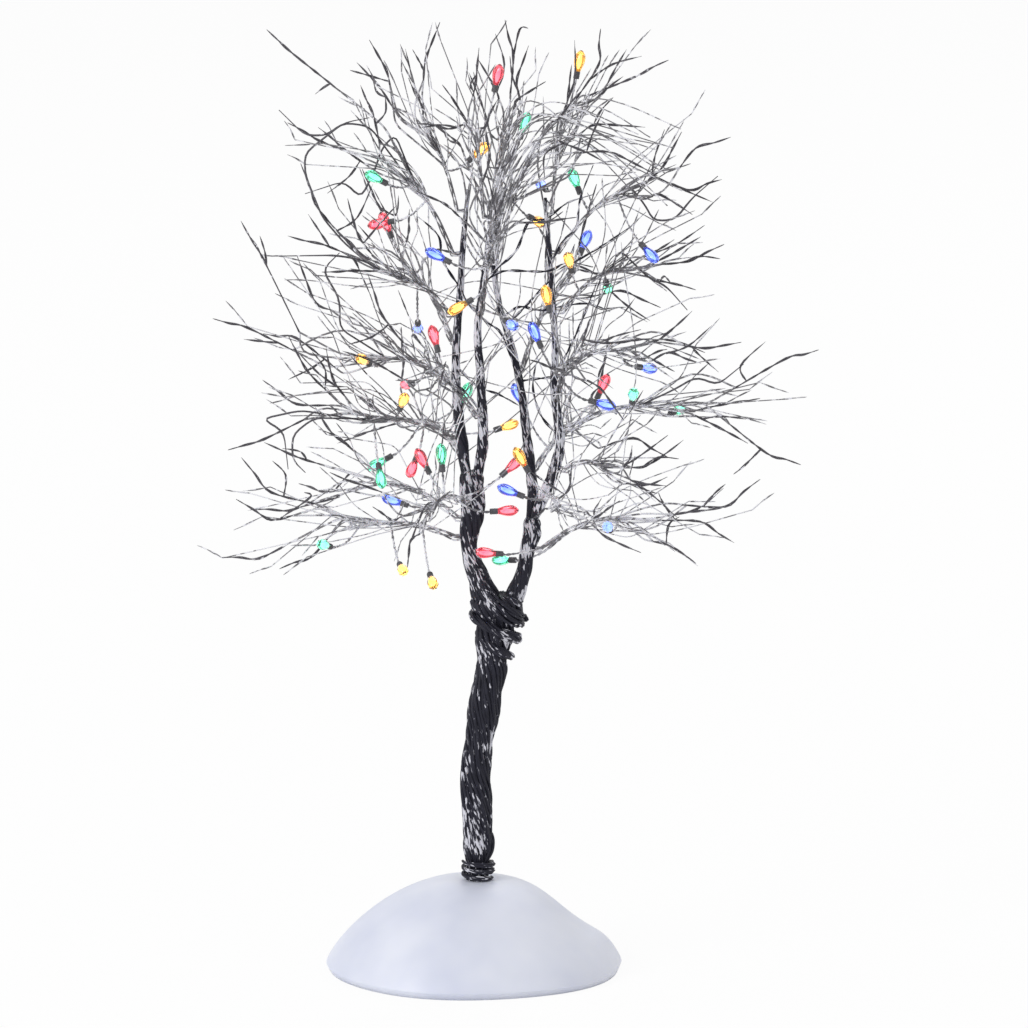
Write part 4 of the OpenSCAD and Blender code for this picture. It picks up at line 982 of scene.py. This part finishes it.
def add_riser(mesh, bough):
    """A nearly straight wire that rises steeply from a bough's bundle."""
    start = bough.point(dice.uniform(*RISER_ROOTS))
    ahead = unit(RISER_LEAN * bough.out + vec(0, 0, 1) + RISER_STRAY * anywhere())
    end = in_crown(start + ahead * dice.uniform(*RISER_REACH))
    middle = mix(start, end, RISER_BOW_AT) + RISER_BOW * bow_of(start, end)
    twist = mix(start, end, TWIST_AT)
    mesh.tube(bowed([start, middle, twist]), FINE_R, WIRE_SIDES)
    add_tip(mesh, [twist, end], FINE_TIP_R, int(dice.random() < DARK_CHANCE))


def add_arch(mesh):
    """Long wires that rise side by side from the centre stem and arch over to the right."""
    for _ in range(ARCH_WIRES):
        start = at_height(STEM_CENTRE, dice.uniform(*ARCH_ROOTS))[:3]
        peak = ARCH_PEAK + ARCH_SPREAD * dice.uniform(-1, 1, 3)
        end = in_crown(ARCH_END + ARCH_FAN * dice.uniform(-1, 1, 3))
        rise = mix(start, peak, 0.5) + ARCH_BULGE
        line = through([start, rise, peak, end], WIRE_STEPS) + ON_MOUND
        mesh.tube(line, np.linspace(WIRE_R, FINE_R, len(line)), WIRE_SIDES)


def add_crossing_wire(mesh, bough):
    """A long bowed wire from a bough's bundle into the middle of the crown."""
    start = bough.point(dice.uniform(*CROSSING_ROOTS))
    goal = HEART_AT + HEART_SIZE * anywhere() * dice.uniform(*HEART_SPAN)
    end = start + unit(goal - start) * min(np.linalg.norm(goal - start), dice.uniform(*CROSSING_REACH))
    bow = CROSSING_BOW * np.linalg.norm(end - start) * anywhere()
    middle = mix(start, end, dice.uniform(*CROSSING_MIDDLE)) + bow
    twist = mix(end, middle, CROSSING_TWIST)
    mesh.tube(through([start, middle, twist], WIRE_STEPS) + ON_MOUND, FINE_R, WIRE_SIDES)
    add_tip(mesh, [twist, end], FINE_TIP_R)


def add_spray(mesh, line):
    """Wires that part from a stem's top and arch outward."""
    top = line[-1, :3]
    for _ in range(SPRAY_WIRES):
        ahead = unit(vec(0, 0, 1) + SPRAY_LEAN * anywhere() * vec(1, 1, 0))
        end = in_crown(top + ahead * dice.uniform(*SPRAY_REACH))
        twist = mix(top, end, TWIST_AT)
        middle = mix(top, twist, 0.5) + bow_of(top, twist) * vec(1, 1, 0)
        wire = through([top - SPRAY_SINK, middle, twist], WIRE_STEPS) + ON_MOUND
        mesh.tube(wire, WIRE_R, WIRE_SIDES, SECOND)
        add_tip(mesh, [twist, end], FINE_TIP_R, SECOND)


def add_brace(mesh, stem, leave, points):
    """Two wires twisted together that leave a stem and bend on their way through the crown."""
    line = through([at_height(stem, leave)[:3], *[vec(*p) for p in points]], WIRE_STEPS) + ON_MOUND
    mesh.bundle(line, BRACE_R * tapered(len(line), BRACE_PLACES, BRACE_SHARES), *TIP_ROPE, WIRE_SIDES)


STEMS = {"stem_left": STEM_LEFT, "stem_centre": STEM_CENTRE, "stem_inner": STEM_INNER,
         "stem_right": STEM_RIGHT}


def make_stems():
    """The four stems, each with the spray on its top and the pairs of wires that leave it."""
    for name, line in STEMS.items():
        stem = twisted(name, slimmed(line), STEM_ROPE)
        add_spray(stem, line)
        for leave, points in BRACES[name]:
            add_brace(stem, line, leave, points)
        stem.finish([BARK, WIRE], [name], "bark")


# The bundles of the boughs and the stalks of their lamps
ARCH_DETAIL = 4
HAND_SHARE = 0.9
BOUGH_WOBBLE = 0.06
BOUGH_FULLNESS = 0.62
STALK_STEPS = 5
STALK_STRAIGHT = 2 * STALK_D
STALK_ROOTS = np.arange(0.3, 0.95, 0.1)
boughs = [Bough(*row) for row in BOUGHS]


def stalk_of(at):
    """The bough nearest to a lamp, the lamp's axis, and the points of its stalk from that bough."""
    spots = [(b.point(f), k) for k, b in enumerate(boughs) for f in STALK_ROOTS]
    start, k = min(spots, key=lambda spot: np.linalg.norm(spot[0] - at))
    axis = unit(unit(at - start) + vec(0, 0, LAMP_LIFT))
    before = at - axis * STALK_STRAIGHT
    middle = mix(start, before, 0.5) - vec(0, 0, STALK_SAG * np.linalg.norm(at - start))
    return k, axis, [start, middle, before, at]


def make_bough(b, stalks):
    """A bough's bundle, twigs and single wires, with the stalks of its lamps."""
    mesh = Mesh("wired_" + b.name)
    f = np.linspace(0, 1, ARCH_DETAIL * BOUGH_ARCS + 1)
    line = np.array([b.root - b.out * b.root_r, b.root, *[b.arch(share) for share in f]]) + ON_MOUND
    radius = np.concatenate([[b.root_r] * 2, mix(b.root_r, HAND_SHARE * TWIG_D, f)])
    mesh.bundle(line, radius, *BOUGH_ROPE, WIRE_SIDES, wobble=BOUGH_WOBBLE, fullness=BOUGH_FULLNESS)
    for leave, points, outer in b.twigs():
        if outer:
            add_outer_twig(mesh, b, leave, points)
        else:
            add_fine_twig(mesh, points)
    low = b.root[2] < EXTRA_BELOW
    for _ in range(CROSSING_WIRES if low else 0):
        add_crossing_wire(mesh, b)
    for leave, points in ELBOWED.get(b.name, []):
        add_elbowed(mesh, b, leave, points)
    for _ in range(RISERS if low else 0):
        add_riser(mesh, b)
    if b.name == ARCH_BOUGH:
        add_arch(mesh)
    for points in stalks:
        mesh.bundle(through(points, STALK_STEPS) + ON_MOUND, STALK_D / 2, *STALK_ROPE, WIRE_SIDES)
    mesh.finish([WIRE, TIP], [b.name], "bark")


# Lamps by colour: places of their sleeves' seats, those seen from the front and those at the rear
SEEN_LAMPS = {
    "red": [(4, -7, 189), (-19, 6, 156), (-11, -9, 99), (-14, -4, 102), (5.5, -7, 98), (3, -9, 90),
            (6, -5, 79), (-9, -10, 128), (-15, 12, 116)],
    "green": [(-21, 0, 166), (24, 3, 163), (30, 4, 142), (36, -14, 117), (-8, -12, 100), (-23, -7, 101),
              (-4, 12, 110), (45, 2, 111), (-34, -20, 84), (9, 7, 75)],
    "blue": [(6.5, -22, 138), (-6, -14, 150), (16, 8, 163), (38, -6, 153), (37, -2, 123), (31, -16, 87),
             (15, -10, 129), (26, -12, 117), (-16, -16, 93), (11, 12, 110), (11, -16, 95)],
    "amber": [(23, 4, 190), (-2, 7, 170), (-1, -12, 141), (22, -9, 147), (17, -13, 138), (-25, -4, 124),
              (-18, -8, 114), (12, -12, 100), (-18, -16, 79), (-11, -13, 76)],
}
REAR_LAMPS = {
    "red": [(-20, 26, 148), (28, 24, 110)],
    "green": [(10, 24, 172), (-20, 26, 96)],
    "blue": [(-14, 36, 126), (24, 36, 142)],
    "amber": [(4, 36, 100), (12, 32, 152)],
}
LENS_RINGS = 18
LENS_SIDES = 40
LENS_LEAST = 0.04
FLUTES = 8
FLUTE_DEPTH = 0.09
GLOW_SIDES = 12
GLOW_RINGS = 9
GLOW_SPAN = (0.12, 0.8)
GLOW_R = 0.2 * LENS_D
GLOW_LEAST = 0.1
SLEEVE_SIDES = 20
SLEEVE_SHARE = 0.92
SLEEVE_END = 0.86
CRIMPS = 5
CRIMP_STEPS = 8
CRIMP_DEPTH = 0.06


def lens_share(f):
    """The lens's radius as a share of its widest, from its neck to its round top."""
    if f < LENS_SHOULDER:
        return mix(LENS_NECK, 1, math.sin(math.pi / 2 * f / LENS_SHOULDER))
    past = (f - LENS_SHOULDER) / (1 - LENS_SHOULDER)
    return max(0, 1 - past ** LENS_POWERS[0]) ** LENS_POWERS[1]


def lens_profile():
    shares = (1 - np.cos(np.linspace(0, math.pi, LENS_RINGS + 1))) / 2
    radii = [max(lens_share(f), LENS_LEAST) * LENS_D / 2 for f in shares]
    return [(LENS_L * f, radius, math.sin(math.pi * f)) for f, radius in zip(shares, radii)]


def core_profile():
    """The bright spindle inside a lens."""
    shares = np.linspace(0, 1, GLOW_RINGS)
    return [(LENS_L * mix(*GLOW_SPAN, f), GLOW_R * (GLOW_LEAST + math.sin(math.pi * f)), 0) for f in shares]


def sleeve_profile():
    """A crimped sleeve with rounded ends."""
    f = np.linspace(0, 1, CRIMP_STEPS * CRIMPS + 1)
    ridge = 1 - CRIMP_DEPTH * (1 - np.cos(2 * math.pi * CRIMPS * f))
    ridge[[0, -1]] *= SLEEVE_END
    return [(SLEEVE_L * x, SLEEVE_D / 2 * SLEEVE_SHARE * r, 0) for x, r in zip(f, ridge)]


def make_lamps():
    """Lenses by colour, their cores and sleeves. Returns the stalks that each bough carries."""
    stalks = [[] for _ in boughs]
    lenses = {name: Mesh("fluted_lamps_" + name) for name in GLOW}
    sleeves = Mesh("crimped_sleeves")
    rows = [row for group in (SEEN_LAMPS, REAR_LAMPS) for row in group.items()]
    for colour, at in [(colour, vec(*place)) for colour, places in rows for place in places]:
        k, axis, points = stalk_of(at)
        stalks[k].append(points)
        seat = at + ON_MOUND
        top = seat + axis * SLEEVE_L
        sleeves.turned(seat, axis, sleeve_profile(), SLEEVE_SIDES)
        lenses[colour].turned(top, axis, lens_profile(), LENS_SIDES, flutes=FLUTES, depth=FLUTE_DEPTH)
        lenses[colour].turned(top, axis, core_profile(), GLOW_SIDES, SECOND)
    for name, mesh in lenses.items():
        mesh.finish([LENS[name], CORE[name]], ["lamps_" + name], "lens_" + name)
    sleeves.finish([SLEEVE], ["lamp_sleeves"], "black_insulation")
    return stalks


make_mound()
make_trunk()
twisted("left_leader", rounded(LEFT_LEADER), LEFT_ROPE).finish([BARK], ["left_leader"], "bark")
twisted("right_leader", rounded(RIGHT_LEADER), RIGHT_ROPE).finish([BARK], ["right_leader"], "bark")
make_stems()
make_windings()
for bough, carried in zip(boughs, make_lamps()):
    make_bough(bough, carried)

# Finishes of the pieces that stay as the CAD made them: pieces, dark, light, grain, roughness, metal, stretch
KEPT = {
    "moulded_plastic": (["base_plate", "battery_door"], (0.64, 0.665, 0.76), (0.72, 0.74, 0.82), 700.0, 0.5),
    "steel": (["base_screws", "door_screw", "contact_spring_front", "contact_spring_rear"],
              (0.42, 0.43, 0.45), (0.62, 0.63, 0.65), 500.0, 0.3, 1.0, (1, 1, 8)),
    "brass": (["contact_bridge", "contact_negative", "contact_positive"],
              (0.55, 0.38, 0.12), (0.74, 0.55, 0.22), 500.0, 0.3, 1.0, (8, 1, 1)),
    "black_plastic": (["switch_body", "switch_knob", "leads_negative"],
                      (0.012, 0.012, 0.014), (0.03, 0.03, 0.034), 900.0, 0.42),
    "cell_jacket": (["battery_cell_left", "battery_cell_right"],
                    (0.02, 0.024, 0.034), (0.05, 0.056, 0.075), 300.0, 0.28, 0.4, (1, 8, 1)),
    "board": (["circuit_board"], (0.006, 0.09, 0.03), (0.015, 0.17, 0.06), 450.0, 0.35),
    "resistor": (["resistor"], (0.34, 0.24, 0.13), (0.50, 0.37, 0.21), 800.0, 0.4),
    "red_insulation": (["lead_positive"], (0.22, 0.01, 0.01), (0.38, 0.025, 0.022), 900.0, 0.4),
}
for finish, (pieces, *look) in KEPT.items():
    material = grained(finish, *look)
    for name in pieces:
        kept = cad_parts[name].data
        kept.materials.clear()
        kept.materials.append(material)

# The camera, at the photograph's angle: the photograph's side in pixels, a pixel in millimetres
scene = bpy.context.scene
PHOTO_SIDE = 1028
PIXEL = 0.2333
ELEVATION = math.radians(12)
DISTANCE = 4.0
SENSOR = 36
FIELD = PHOTO_SIDE * PIXEL * MM
AIM = Vector((8.6, 0, 108.8)) * MM
back = Vector((0, -math.cos(ELEVATION), math.sin(ELEVATION)))
lens = bpy.data.cameras.new("camera")
lens.sensor_width = SENSOR
lens.lens = SENSOR * DISTANCE / FIELD
camera = bpy.data.objects.new("camera", lens)
camera.location = AIM + back * DISTANCE
camera.rotation_mode = "QUATERNION"
camera.rotation_quaternion = (-back).to_track_quat("-Z", "Y")
scene.collection.objects.link(camera)
scene.camera = camera
scene.view_settings.view_transform = "Standard"


# Floor and light
FLOOR_HALF = 8.0
FLOOR_COLOUR = (0.9, 0.9, 0.9, 1)
FLOOR_ROUGHNESS = 0.9
FLOOR_WHITE = 0.92
SKY_LIGHT = 0.6
# Studio lamps: name, place, size and power
STUDIO = [
    ("key", (-1.0, -0.8, 0.7), 0.7, 10.0),
    ("fill", (0.9, -0.7, 0.6), 0.8, 1.5),
    ("rim", (0.2, 0.9, 0.9), 0.6, 3.0),
]


def background_rays(graph):
    """1 for rays that see the background: straight, mirrored or through glass."""
    path = graph.nodes.new("ShaderNodeLightPath").outputs
    mirrored = graph.maths("MAXIMUM", path["Is Camera Ray"], path["Is Glossy Ray"])
    return graph.maths("MAXIMUM", mirrored, path["Is Transmission Ray"])


def make_floor():
    """A plain floor, white to the camera, that keeps some of the tree's shadow."""
    data = bpy.data.meshes.new("floor")
    corners = [(x * FLOOR_HALF, y * FLOOR_HALF, 0) for x, y in ((-1, -1), (1, -1), (1, 1), (-1, 1))]
    data.from_pydata(corners, [], [list(range(len(corners)))])
    floor = bpy.data.objects.new("floor", data)
    scene.collection.objects.link(floor)
    material, graph, body = blank("floor")
    graph.fill(body, {"Base Color": FLOOR_COLOUR, "Roughness": FLOOR_ROUGHNESS})
    white = graph.add("ShaderNodeEmission").outputs["Emission"]
    share = graph.maths("MULTIPLY", background_rays(graph), FLOOR_WHITE)
    blend = graph.add("ShaderNodeMixShader", Fac=share)
    graph.fill(blend, {1: body.outputs["BSDF"], 2: white})
    graph.fill(graph.nodes["Material Output"], {"Surface": blend.outputs["Shader"]})
    data.materials.append(material)


def make_world():
    world = bpy.data.worlds.new("studio")
    world.use_nodes = True
    graph = Graph(world.node_tree)
    strength = graph.spread(background_rays(graph), SKY_LIGHT, 1.0)
    graph.fill(graph.nodes["Background"], {"Color": (1, 1, 1, 1), "Strength": strength})
    scene.world = world


def make_lamp(name, place, size, power):
    light = bpy.data.lights.new(name, "AREA")
    light.size = size
    light.energy = power
    lamp = bpy.data.objects.new(name, light)
    lamp.location = place
    lamp.rotation_mode = "QUATERNION"
    lamp.rotation_quaternion = (AIM - Vector(place)).to_track_quat("-Z", "Y")
    scene.collection.objects.link(lamp)


make_floor()
make_world()
for row in STUDIO:
    make_lamp(*row)
